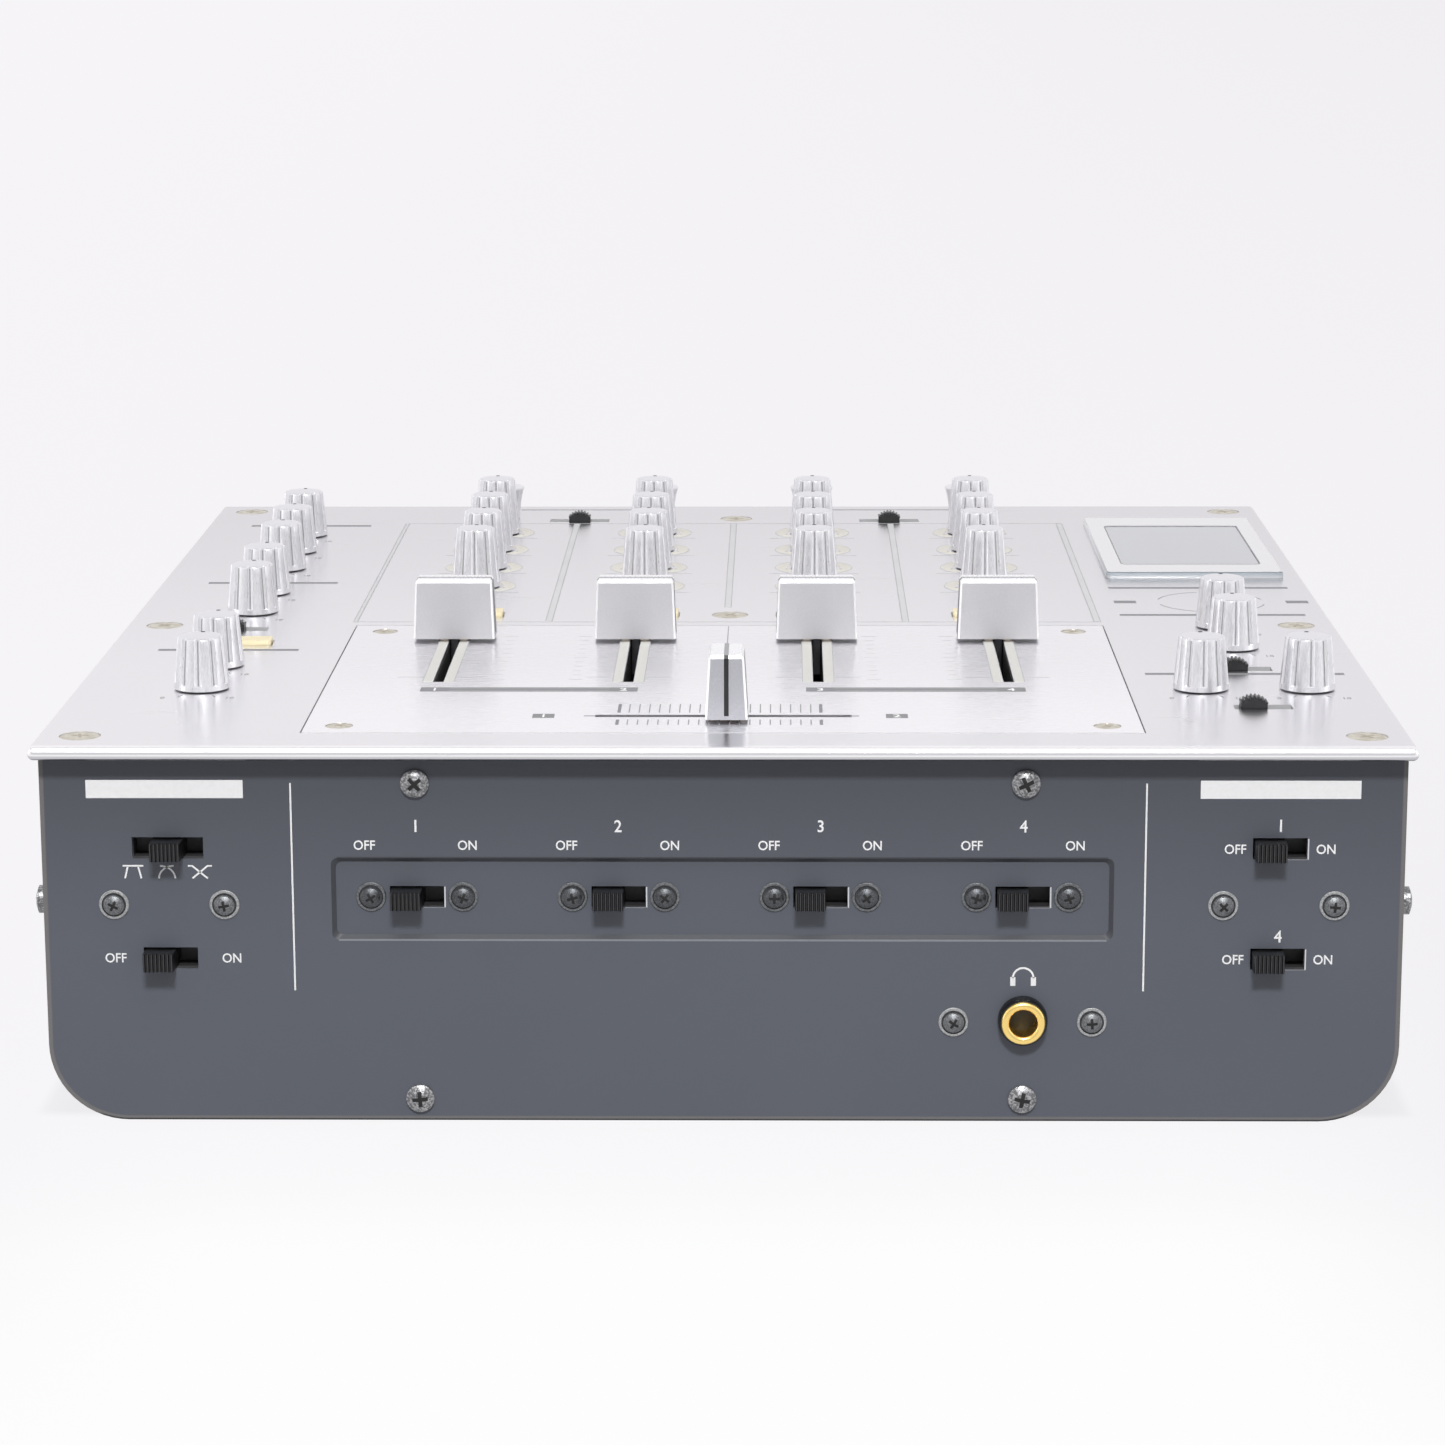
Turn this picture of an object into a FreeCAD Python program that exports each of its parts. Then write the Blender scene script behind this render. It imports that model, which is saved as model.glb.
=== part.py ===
import FreeCAD, Part
import math
import os
import re

# Four channel DJ mixer: wrapped sheet case, thick top panel, knobs, faders and switches as separate pieces.
# Millimetres, +Z up, front towards -Y. The origin is under the middle of the mixer, on the plane of its feet.

# Driving dimensions. A row is measured back from the front panel's face, a column sideways from the middle
# line, a level up from the case's underside.
DIMENSIONS = {
    "overall_width": 320.0,
    "overall_depth": 352.0,
    # Case, front panel, rear panel and feet
    "case_width": 316.6,
    "case_height": 87.9,
    "case_corner": 18.5,
    "case_wall": 1.2,
    "tab_width": 15.0,
    "tab_depth": 24.0,
    "front_overhang": 5.85,
    "front_thick": 2.5,
    "rear_thick": 1.5,
    "foot_height": 4.0,
    "foot_radius": 10.0,
    "foot_taper": 1.0,
    "foot_column": 121.0,
    "foot_inset": 24.0,
    # Top panel and the plate let into it
    "plate_depth": 343.0,
    "plate_thick": 3.2,
    "plate_round": 1.5,
    "fader_plate_half": 98.4,
    "fader_plate_front": 10.8,
    "fader_plate_back": 141.8,
    "fader_plate_thick": 1.6,
    "fader_plate_gap": 0.35,
    "side_ledge": 12.0,
    "end_ledge": 3.0,
    # Display
    "window_column": 129.7,
    "window_row": 257.5,
    "window_width": 49.7,
    "window_depth": 92.0,
    "window_thick": 1.9,
    "window_bevel": 0.6,
    "screen_width": 42.0,
    "screen_depth": 68.0,
    "screen_row": 255.8,
    "screen_thick": 8.0,
    "screen_gap": 0.5,
    # Knobs
    "knob_gap": 0.25,
    "knob_hole": 4.2,
    "shaft_radius": 3.0,
    "shaft_depth": 14.0,
    "socket_depth": 9.0,
    "socket_slack": 0.05,
    "skirt_height": 1.5,
    "flute_radius": 1.0,
    "flute_sink": 0.55,
    "crown_bevel": 0.5,
    "wide_base": 6.85,
    "wide_top": 5.7,
    "wide_height": 13.0,
    "tall_base": 6.7,
    "tall_top": 5.35,
    "tall_height": 16.3,
    "selector_base": 5.0,
    "selector_top": 6.4,
    "selector_height": 9.5,
    "channel_pitch": 47.0,
    "channel_shift": -0.6,
    "low_row": 199.4,
    "band_pitch": 29.25,
    "selector_row": 314.6,
    "knob_column": 128.5,
    "right_upper_column": 129.7,
    "right_lower_column": 129.4,
    "knob_pitch": 28.3,
    "left_upper_row": 283.6,
    "left_middle_row": 189.4,
    "left_lower_row": 89.2,
    "right_upper_row": 140.8,
    "right_lower_row": 60.9,
    "right_lower_half": 13.0,
    # Faders
    "cap_long": 21.0,
    "crossfader_cap_long": 16.7,
    "cap_wide": 10.1,
    "cap_long_top": 19.8,
    "crossfader_cap_long_top": 15.5,
    "cap_wide_top": 8.3,
    "cap_height": 15.4,
    "cap_bevel": 0.6,
    "cap_gap": 0.75,
    "cap_line": 1.1,
    "cap_line_sink": 0.4,
    "cap_line_rise": 1.2,
    "lever_wide": 2.2,
    "lever_long": 6.0,
    "lever_depth": 9.0,
    "lever_grip": 6.0,
    "slot_wide": 2.6,
    "slot_long": 61.0,
    "fader_row": 99.3,
    "fader_travel": 50.0,
    "crossfader_row": 29.2,
    "crossfader_rest": 0.8,
    "track_long": 76.0,
    "track_wide": 13.0,
    "track_deep": 13.0,
    "track_floor": 2.0,
    # Slide switches of the top panel
    "slider_wide": 7.1,
    "slider_deep": 4.6,
    "slider_rise": 2.9,
    "slider_round": 4.56,
    "slider_slot": 14.0,
    "slider_slot_three": 18.0,
    "slider_slot_deep": 5.2,
    "slider_travel": 4.7,
    "slider_tooth": 0.42,
    "rear_switch_row": 309.5,
    "left_switch_row": 137.0,
    "right_upper_switch_row": 85.0,
    "right_upper_switch_column": 129.5,
    "right_lower_switch_row": 39.5,
    "right_lower_switch_column": 129.2,
    # Push buttons
    "button_long": 20.5,
    "button_deep": 6.0,
    "button_rise": 1.2,
    "button_body": 6.0,
    "button_round": 1.0,
    "button_slack": 0.4,
    "left_button_row": 118.2,
    "cue_row": 157.5,
    # Front panel controls
    "front_column": 128.9,
    "start_column": 129.3,
    "recess_half": 91.0,
    "recess_rise": 19.6,
    "recess_level": 54.1,
    "recess_drop": 0.3,
    "recess_sink": 1.0,
    "recess_slope": 1.05,
    "recess_corner": 2.4,
    "front_knob_wide": 7.4,
    "front_knob_high": 4.4,
    "front_knob_out": 5.3,
    "front_knob_rib": 0.35,
    "front_slot": 12.7,
    "front_slot_three": 16.6,
    "front_slot_high": 5.1,
    "front_travel": 4.6,
    "upper_switch_level": 66.0,
    "lower_switch_level": 39.5,
    "switch_body_long": 20.0,
    "front_body_long": 18.0,
    "switch_body_wide": 9.0,
    "switch_body_deep": 10.0,
    "switch_stem_deep": 4.0,
    # Headphone jack
    "jack_column": 70.2,
    "jack_level": 24.75,
    "jack_bore": 3.25,
    "jack_bore_deep": 32.0,
    "jack_nut": 5.2,
    "jack_nut_thick": 3.0,
    "jack_washer": 5.75,
    "jack_washer_thick": 0.8,
    "jack_neck": 4.5,
    "jack_hole": 4.8,
    "jack_box": 15.0,
    "jack_box_deep": 30.0,
    # Screws
    "big_head": 4.55,
    "small_head": 2.95,
    "flush_head_thick": 1.2,
    "flush_head_rise": 0.1,
    "flush_gap": 0.3,
    "flush_dome": 0.25,
    "pan_head": 3.3,
    "pan_head_thick": 2.0,
    "pan_dome": 1.2,
    "set_head": 2.5,
    "set_head_thick": 1.5,
    "set_dome": 0.9,
    "set_washer": 3.5,
    "set_washer_thick": 0.6,
    "washer_step": 2.95,
    "washer_step_thick": 0.3,
    "side_head_thick": 3.0,
    "side_dome": 1.4,
    "screw_shank": 1.5,
    "screw_long": 7.0,
    "screw_slack": 0.15,
    "cross_wide": 0.7,
    "cross_deep": 0.8,
    "screw_column": 149.6,
    "screw_front_row": 7.1,
    "screw_middle_row": 142.1,
    "screw_back_row": 325.8,
    "centre_front_row": 156.9,
    "centre_back_row": 312.9,
    "small_screw_column": 90.3,
    "small_screw_front": 18.2,
    "small_screw_back": 133.8,
    "pan_column": 70.7,
    "pan_shift": -0.4,
    "pan_low_level": 5.5,
    "pan_high_level": 81.5,
    "set_level": 52.4,
    "set_half": 12.9,
    "reverse_set_half": 10.75,
    "jack_set_half": 16.15,
    "jack_set_level": 24.2,
    "side_screw_row": 8.0,
    "side_screw_level": 51.6,
    # Rear panel sockets
    "phono_shell": 4.15,
    "phono_out": 9.5,
    "phono_ring": 5.4,
    "phono_ring_thick": 1.0,
    "phono_barrel": 3.9,
    "phono_barrel_deep": 9.0,
    "phono_hole": 4.1,
    "phono_bore": 1.6,
    "phono_upper_level": 62.0,
    "phono_lower_level": 44.0,
    "phono_half": 8.0,
    "output_column": 118.0,
    "output_pitch": 16.0,
    "post_half": 9.0,
    "post_level": 26.0,
    "post_radius": 4.2,
    "post_stud": 2.0,
    "mains_column": 128.0,
    "inlet_level": 32.0,
    "inlet_wide": 24.5,
    "inlet_high": 17.0,
    "inlet_deep": 18.0,
    "inlet_wall": 1.6,
    "inlet_lip": 3.0,
    "inlet_gap": 0.5,
    # Inside
    "pot_radius": 8.0,
    "pot_bush": 4.6,
    "pot_bore": 3.4,
    "pot_top": 11.5,
    "pot_bottom": 20.0,
    "board_thick": 1.6,
    "side_board_column": 128.0,
    "side_board_width": 46.0,
    "left_board_front": 42.0,
    "left_board_back": 298.0,
    "right_board_front": 32.0,
    "right_board_back": 160.0,
    "channel_board_half": 92.0,
    "channel_board_front": 148.0,
    "channel_board_back": 324.0,
    "main_board_width": 200.0,
    "main_board_depth": 240.0,
    "main_board_column": -30.0,
    "main_board_row": 180.0,
    "spacer_radius": 3.0,
    "spacer_height": 8.0,
    "spacer_inset": 8.0,
    "push_top": 8.0,
    "push_size": 5.6,
    "core_width": 58.0,
    "core_depth": 34.0,
    "core_height": 50.0,
    "coil_width": 40.0,
    "coil_depth": 11.0,
    "coil_height": 36.0,
    "core_column": 106.0,
    "core_row": 262.0,
}
FLUTES = 10
FRONT_RIBS = 6
SLIDER_TEETH = 8
CHANNELS = (1, 2, 3, 4)
BANDS = ("low", "mid", "high", "trim")

# Places that many pieces share, as expressions on the dimensions.
FRONT = "(front_overhang - overall_depth / 2)"
REAR = "(plate_depth - front_overhang - overall_depth / 2)"
TOP = "(foot_height + case_height + plate_thick)"
CASE_DEPTH = "(plate_depth - 2 * front_overhang)"

DOC = FreeCAD.newDocument("dj_mixer")
SHEET = DOC.addObject("Spreadsheet::Sheet", "dims")
NODES = []


def fill_sheet():
    for row, (alias, size) in enumerate(DIMENSIONS.items(), start=1):
        SHEET.set(f"A{row}", str(size))
        SHEET.setAlias(f"A{row}", alias)
    DOC.recompute()


def bind(thing, **sizes):
    """Ties properties to the sheet. Every word of an expression is the alias of a cell."""
    for name, expression in sizes.items():
        thing.setExpression(name, re.sub(r"[a-z]\w*", r"dims.\g<0>", str(expression)))
    return thing


def move(thing, x="0", y="0", z="0", turn=None):
    """Puts a thing at x, y, z, turned by (axis, degrees) first."""
    if turn:
        axis, degrees = turn
        thing.Placement.Rotation = FreeCAD.Rotation(FreeCAD.Vector(*axis), degrees)
    for letter, expression in zip("xyz", (x, y, z)):
        thing.setExpression(f"Placement.Base.{letter}", re.sub(r"[a-z]\w*", r"dims.\g<0>", str(expression)))
    return thing


OUT_OF_FRONT = ((1, 0, 0), 90)
INTO_FRONT = ((1, 0, 0), -90)
OUT_OF_REAR = INTO_FRONT
OUT_OF_RIGHT = ((0, 1, 0), 90)
OUT_OF_LEFT = ((0, 1, 0), -90)


def block(name, wide, deep, high, x="0", y="0", z="0"):
    """Box centred on x and y, standing on z."""
    box = bind(DOC.addObject("Part::Box", name), Length=wide, Width=deep, Height=high)
    return move(box, f"{x} - ({wide}) / 2", f"{y} - ({deep}) / 2", z)


def rod(name, radius, length, x="0", y="0", z="0", turn=None):
    cylinder = bind(DOC.addObject("Part::Cylinder", name), Radius=radius, Height=length)
    return move(cylinder, x, y, z, turn)


def cone(name, low, high, length, x="0", y="0", z="0"):
    solid = bind(DOC.addObject("Part::Cone", name), Radius1=low, Radius2=high, Height=length)
    return move(solid, x, y, z)


def fuse(name, parts):
    joined = DOC.addObject("Part::MultiFuse", name)
    joined.Shapes = parts
    return joined


def cut(name, base, tools):
    result = DOC.addObject("Part::Cut", name)
    result.Base = base
    result.Tool = tools[0] if len(tools) == 1 else group(f"{name}_tools", tools)
    return result


def group(name, parts):
    compound = DOC.addObject("Part::Compound", name)
    compound.Links = parts
    return compound


def copy(name, parts, x="0", y="0", z="0", turn=None):
    """A placed copy of parts that are drawn at the origin."""
    return move(group(name, parts), x, y, z, turn)


def node(label, thing):
    """Marks a thing as a piece of the mixer. Its label names its file."""
    thing.Label = label
    NODES.append(thing)
    return thing


def edges(shape, wanted):
    return [f"Edge{i}" for i, edge in enumerate(shape.Edges, start=1) if wanted(edge)]


def rounded_box(name, wide, deep, high, radius, wanted):
    """Body of a box with its lowest corner at the origin and the wanted edges rounded."""
    body = DOC.addObject("PartDesign::Body", name)
    box = bind(body.newObject("PartDesign::AdditiveBox", f"{name}_box"), Length=wide, Width=deep, Height=high)
    DOC.recompute()
    fillet = body.newObject("PartDesign::Fillet", f"{name}_round")
    fillet.Base = (box, edges(box.Shape, wanted))
    bind(fillet, Radius=radius)
    return body


def is_low_corner(edge):
    """Edge that runs from front to back along the underside."""
    box = edge.BoundBox
    return box.YLength > box.XLength and box.ZMax < 1e-6


def is_upright(edge):
    return edge.BoundBox.ZLength > edge.BoundBox.XLength + edge.BoundBox.YLength


def channel_column(channel):
    return f"(channel_pitch * {channel - 2.5} + channel_shift)"


def row(distance):
    return f"({FRONT} + {distance})"


def level(height):
    return f"(foot_height + {height})"


def knob_places():
    """Each turning knob's name, shape, column and row."""
    left = [("left_upper_knob", "left_upper_row", 3), ("left_middle_knob", "left_middle_row", 2),
            ("left_lower_knob", "left_lower_row", 2)]
    for name, first, count in left:
        for i in range(count):
            yield f"{name}_{i + 1}", "wide", "-knob_column", row(f"{first} - {i} * knob_pitch")
    for channel in CHANNELS:
        for i, band in enumerate(BANDS):
            place = row(f"low_row + {i} * band_pitch")
            yield f"ch{channel}_{band}_knob", "tall", channel_column(channel), place
    for i in range(2):
        place = row(f"right_upper_row - {i} * knob_pitch")
        yield f"right_upper_knob_{i + 1}", "wide", "right_upper_column", place
    for side, sign in (("left", "-"), ("right", "+")):
        column = f"right_lower_column {sign} right_lower_half"
        yield f"right_lower_knob_{side}", "wide", column, row("right_lower_row")


def fader_places():
    """Each fader's name, its slot's column and row, and whether the slot runs across."""
    for channel in CHANNELS:
        yield f"ch{channel}_fader", channel_column(channel), row("fader_row"), False
    yield "crossfader", "0", row("crossfader_row"), True


def slider_places():
    """Each top slide switch: name, column, row, slot length and the knob's rest place in the slot."""
    two = "slider_slot"
    three = "slider_slot_three"
    at_left = "-slider_travel / 2"
    yield "rear_left_switch", "channel_shift - channel_pitch", row("rear_switch_row"), three, "0"
    yield "rear_right_switch", "channel_shift + channel_pitch", row("rear_switch_row"), three, "0"
    yield "left_switch", "-knob_column", row("left_switch_row"), two, at_left
    yield "right_upper_switch", "right_upper_switch_column", row("right_upper_switch_row"), two, at_left
    yield "right_lower_switch", "right_lower_switch_column", row("right_lower_switch_row"), two, at_left


def front_switch_places():
    """Each front slide switch: name, column, level, slot length, rest place and how far the face is sunk."""
    at_left = "-front_travel / 2"
    upper = level("upper_switch_level")
    lower = level("lower_switch_level")
    yield "curve_switch", "-front_column", upper, "front_slot_three", "0", "0"
    yield "crossfader_reverse_switch", "-front_column", lower, "front_slot", at_left, "0"
    for channel in CHANNELS:
        name = f"ch{channel}_reverse_switch"
        yield name, channel_column(channel), level("recess_level"), "front_slot", at_left, "recess_sink"
    yield "ch1_start_switch", "start_column", upper, "front_slot", at_left, "0"
    yield "ch4_start_switch", "start_column", lower, "front_slot", at_left, "0"


def button_places():
    yield "left_button", "-knob_column", row("left_button_row")
    for channel in CHANNELS:
        yield f"cue_button_{channel}", channel_column(channel), row("cue_row")


def big_screw_places():
    for side in ("-screw_column", "screw_column"):
        for distance in ("screw_front_row", "screw_middle_row", "screw_back_row"):
            yield side, row(distance)
    for distance in ("centre_front_row", "centre_back_row"):
        yield "0", row(distance)


def small_screw_places():
    for side in ("-small_screw_column", "small_screw_column"):
        for distance in ("small_screw_front", "small_screw_back"):
            yield side, row(distance)


def pan_screw_places():
    for side in ("pan_shift - pan_column", "pan_shift + pan_column"):
        for height in ("pan_low_level", "pan_high_level"):
            yield side, level(height)


def washer_screw_places():
    """Column, level and sink of each screw with a washer on the front."""
    for sign in ("-", "+"):
        for centre in ("-front_column", "start_column"):
            yield f"{centre} {sign} set_half", level("set_level"), "0"
        for channel in CHANNELS:
            yield f"{channel_column(channel)} {sign} reverse_set_half", level("recess_level"), "recess_sink"
        yield f"jack_column {sign} jack_set_half", level("jack_set_level"), "0"


def phono_places():
    for height in ("phono_lower_level", "phono_upper_level"):
        for channel in CHANNELS:
            for sign in ("-", "+"):
                yield f"{channel_column(channel)} {sign} phono_half", level(height)
        for i in range(3):
            yield f"-output_column - {i - 1} * output_pitch", level(height)


def through(name, radius, low, high):
    """Round cutter about the Z axis, from low to high."""
    return rod(name, radius, f"({high}) - ({low})", z=low)


def make_top_panel():
    plate = DOC.addObject("PartDesign::Body", "plate")
    box = bind(plate.newObject("PartDesign::AdditiveBox", "plate_box"),
               Length="overall_width", Width="plate_depth", Height="plate_thick")
    move(box, "-overall_width / 2", "-overall_depth / 2", f"{TOP} - plate_thick")
    DOC.recompute()
    nose = plate.newObject("PartDesign::Fillet", "plate_nose")
    nose.Base = (box, ["Edge1"])
    nose.UseAllEdges = True
    bind(nose, Radius="plate_round")

    knob_hole = through("knob_hole", "knob_hole", "-plate_thick - 1", "1")
    screw_hole = fuse("big_screw_hole", [
        through("big_screw_seat", "big_head + flush_gap", "-flush_head_thick", "1"),
        through("big_screw_way", "screw_shank + screw_slack", "-plate_thick - 1", "0")])
    small_way = through("small_screw_way", "screw_shank + screw_slack", "-plate_thick - 1", "0")
    button_hole = block("button_hole", "button_long + 2 * button_slack", "button_deep + 2 * button_slack",
                        "plate_thick + 2", z="-plate_thick - 1")
    holes = []
    for name, _, x, y in knob_places():
        holes.append(copy(f"{name}_hole", [knob_hole], x, y, TOP))
    for channel in CHANNELS:
        holes.append(copy(f"selector_{channel}_hole", [knob_hole], channel_column(channel),
                          row("selector_row"), TOP))
    for name, x, y, slot, _ in slider_places():
        holes.append(block(f"{name}_hole", slot, "slider_slot_deep", "plate_thick + 2", x, y,
                           f"{TOP} - plate_thick - 1"))
    for name, x, y in button_places():
        holes.append(copy(f"{name}_hole", [button_hole], x, y, TOP))
    for i, (x, y) in enumerate(big_screw_places()):
        holes.append(copy(f"big_screw_{i}_hole", [screw_hole], x, y, TOP))
    for i, (x, y) in enumerate(small_screw_places()):
        holes.append(copy(f"small_screw_{i}_hole", [small_way], x, y, f"{TOP} - fader_plate_thick"))
    holes.append(block("screen_hole", "screen_width + 2 * screen_gap", "screen_depth + 2 * screen_gap",
                       "plate_thick + 2", "window_column", row("screen_row"), f"{TOP} - plate_thick - 1"))
    depth = "(fader_plate_back - fader_plate_front)"
    middle = row("(fader_plate_back + fader_plate_front) / 2")
    holes.append(fuse("fader_opening", [
        block("fader_seat", "2 * (fader_plate_half + fader_plate_gap)", f"{depth} + 2 * fader_plate_gap",
              "fader_plate_thick + 1", y=middle, z=f"{TOP} - fader_plate_thick"),
        block("fader_well", "2 * (fader_plate_half - side_ledge)", f"{depth} - 2 * end_ledge",
              "plate_thick + 2", y=middle, z=f"{TOP} - plate_thick - 1")]))
    node("top_panel", cut("top_panel_cut", plate, holes))


def make_fader_panel():
    depth = "(fader_plate_back - fader_plate_front)"
    middle = row("(fader_plate_back + fader_plate_front) / 2")
    plate = block("fader_plate", "2 * fader_plate_half", depth, "fader_plate_thick", y=middle,
                  z=f"{TOP} - fader_plate_thick")
    screw_hole = fuse("small_screw_hole", [
        through("small_screw_seat", "small_head + flush_gap", "-flush_head_thick", "1"),
        through("small_screw_bore", "screw_shank + screw_slack", "-plate_thick - 1", "0")])
    holes = []
    for name, x, y, across in fader_places():
        size = ("slot_long", "slot_wide") if across else ("slot_wide", "slot_long")
        holes.append(block(f"{name}_slot", *size, "fader_plate_thick + 2", x, y,
                           f"{TOP} - fader_plate_thick - 1"))
    for i, (x, y) in enumerate(small_screw_places()):
        holes.append(copy(f"small_screw_{i}_seat", [screw_hole], x, y, TOP))
    node("fader_panel", cut("fader_panel_cut", plate, holes))


def make_display():
    body = DOC.addObject("PartDesign::Body", "window")
    slab = bind(body.newObject("PartDesign::AdditiveBox", "window_slab"),
                Length="window_width", Width="window_depth", Height="window_thick")
    move(slab, "window_column - window_width / 2", f"{row('window_row')} - window_depth / 2", TOP)
    DOC.recompute()
    bevel = body.newObject("PartDesign::Chamfer", "window_bevel")
    bevel.Base = (slab, edges(slab.Shape, lambda edge: edge.BoundBox.ZMin > slab.Shape.BoundBox.ZMax - 1e-6))
    bind(bevel, Size="window_bevel")
    screen = block("screen", "screen_width", "screen_depth", "screen_thick", "window_column",
                   row("screen_row"), f"{TOP} - screen_thick")
    node("display_window", group("display", [body, screen]))


def fluted_knob(shape):
    """Tapered knob with flutes above a plain skirt, one of them at the front, and the shaft in its socket."""
    size = {key: DIMENSIONS[f"{shape}_{key}"] for key in ("base", "top", "height")}
    base, top, height = f"{shape}_base", f"{shape}_top", f"{shape}_height"
    taper = math.degrees(math.atan2(size["base"] - size["top"], size["height"]))
    skirt = DIMENSIONS["skirt_height"]
    start = size["base"] - (size["base"] - size["top"]) * skirt / size["height"]
    offset = start + DIMENSIONS["flute_radius"] - DIMENSIONS["flute_sink"]
    blank = fuse(f"{shape}_blank", [
        cone(f"{shape}_taper", base, top, f"{height} - crown_bevel", z="knob_gap"),
        cone(f"{shape}_crown", top, f"{top} - crown_bevel", "crown_bevel",
             z=f"knob_gap + {height} - crown_bevel")])
    tools = [rod(f"{shape}_socket", "shaft_radius + socket_slack", "socket_depth + 1", z="knob_gap - 1")]
    for i in range(FLUTES):
        cutter = DOC.addObject("Part::Cylinder", f"{shape}_flute_{i}")
        bind(cutter, Radius="flute_radius", Height=height)
        around = FreeCAD.Rotation(FreeCAD.Vector(0, 0, 1), i * 360.0 / FLUTES - 90)
        lean = FreeCAD.Rotation(FreeCAD.Vector(0, 1, 0), -taper)
        spot = around.multVec(FreeCAD.Vector(offset, 0, DIMENSIONS["knob_gap"] + skirt))
        cutter.Placement = FreeCAD.Placement(spot, around.multiply(lean))
        tools.append(cutter)
    knob = cut(f"{shape}_knob", blank, tools)
    shaft = rod(f"{shape}_shaft", "shaft_radius", "shaft_depth + knob_gap + socket_depth", z="-shaft_depth")
    return [knob, shaft]


def make_knobs():
    shapes = {shape: fluted_knob(shape) for shape in ("wide", "tall")}
    for name, shape, x, y in knob_places():
        node(name, copy(name, shapes[shape], x, y, TOP))


def make_selectors():
    """Flared knobs that pick each channel's source, turned on their shafts."""
    cup = cone("selector_flare", "selector_base", "selector_top", "selector_height", z="knob_gap")
    socket = rod("selector_socket", "shaft_radius + socket_slack", "socket_depth", z="knob_gap - 1")
    flare = cut("selector_knob", cup, [socket])
    shaft = rod("selector_shaft", "shaft_radius", "shaft_depth + knob_gap + socket_depth - 1",
                z="-shaft_depth")
    for channel in CHANNELS:
        name = f"ch{channel}_selector_knob"
        node(name, copy(name, [flare, shaft], channel_column(channel), row("selector_row"), TOP))


def cap_on_lever(name, long, long_top):
    """Tapered cap, long along X, with a sunk line over its top and ends, on a flat lever."""
    body = DOC.addObject("PartDesign::Body", f"{name}_body")
    wedge = bind(body.newObject("PartDesign::AdditiveWedge", f"{name}_wedge"),
                 Xmin=f"-{long} / 2", Xmax=f"{long} / 2", Zmin="-cap_wide / 2", Zmax="cap_wide / 2",
                 Ymin="0", Ymax="cap_height",
                 X2min=f"-{long_top} / 2", X2max=f"{long_top} / 2",
                 Z2min="-cap_wide_top / 2", Z2max="cap_wide_top / 2")
    move(wedge, z="cap_gap", turn=((1, 0, 0), 90))
    DOC.recompute()
    bevel = body.newObject("PartDesign::Chamfer", f"{name}_edges")
    bevel.Base = (wedge, edges(wedge.Shape, lambda edge: edge.BoundBox.ZMax > DIMENSIONS["cap_gap"] + 1))
    bind(bevel, Size="cap_bevel")
    line = [block(f"{name}_line_top", long, "cap_line", "cap_line_sink + 1",
                  z="cap_gap + cap_height - cap_line_sink")]
    lean = math.degrees(math.atan2((DIMENSIONS[long] - DIMENSIONS[long_top]) / 2, DIMENSIONS["cap_height"]))
    for side, turn in (("-", lean), ("+", -lean)):
        end = bind(DOC.addObject("Part::Box", f"{name}_line_end_{turn:.0f}"), Length="2 * cap_line_sink",
                   Width="cap_line", Height="cap_height")
        move(end, f"{side}({long} / 2) - cap_line_sink", "-cap_line / 2", "cap_gap + cap_line_rise",
             turn=((0, 1, 0), turn))
        line.append(end)
    lever_slot = block(f"{name}_socket", "lever_wide", "lever_long", "lever_grip", z="cap_gap")
    cap = cut(name, body, [fuse(f"{name}_line", line), lever_slot])
    lever = block(f"{name}_lever", "lever_wide", "lever_long", "lever_depth + cap_gap + lever_grip",
                  z="-lever_depth")
    return [cap, lever]


def make_faders():
    """Four channel faders at the far end of their slots, and the crossfader with a shorter cap."""
    fader = cap_on_lever("fader_cap", "cap_long", "cap_long_top")
    crossfader = cap_on_lever("crossfader_cap", "crossfader_cap_long", "crossfader_cap_long_top")
    for name, x, y, across in fader_places():
        if across:
            node(name, copy(name, crossfader, f"{x} + crossfader_rest", y, TOP, turn=((0, 0, 1), 90)))
        else:
            node(name, copy(name, fader, x, f"{y} + fader_travel / 2", TOP))


def make_sliders():
    """Domed black knobs of the top slide switches, with teeth over the dome and a stem below."""
    radius = DIMENSIONS["slider_round"]
    middle = DIMENSIONS["slider_rise"] - radius
    spread = math.asin(DIMENSIONS["slider_wide"] / 2 / radius)
    half = DOC.addObject("Part::Common", "slider_half")
    half.Base = block("slider_upper", "slider_wide", "slider_deep", "slider_rise", z="0")
    half.Tool = rod("slider_arch", "slider_round", "slider_deep", y="-slider_deep / 2",
                    z="slider_rise - slider_round", turn=INTO_FRONT)
    stem = block("slider_stem", "slider_wide", "slider_deep", "plate_thick + switch_stem_deep",
                 z="-plate_thick - switch_stem_deep")
    teeth = []
    for i in range(SLIDER_TEETH):
        angle = spread * (2 * (i + 0.5) / SLIDER_TEETH - 1)
        groove = bind(DOC.addObject("Part::Cylinder", f"slider_tooth_{i}"), Radius="slider_tooth",
                      Height="slider_deep + 2")
        spot = FreeCAD.Vector(radius * math.sin(angle), -DIMENSIONS["slider_deep"] / 2 - 1,
                              middle + radius * math.cos(angle))
        groove.Placement = FreeCAD.Placement(spot, FreeCAD.Rotation(FreeCAD.Vector(1, 0, 0), -90))
        teeth.append(groove)
    knob = cut("slider_knob", fuse("slider_blank", [half, stem]), teeth)
    for name, x, y, _, rest in slider_places():
        node(name, copy(name, [knob], f"{x} + {rest}", y, TOP))


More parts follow.
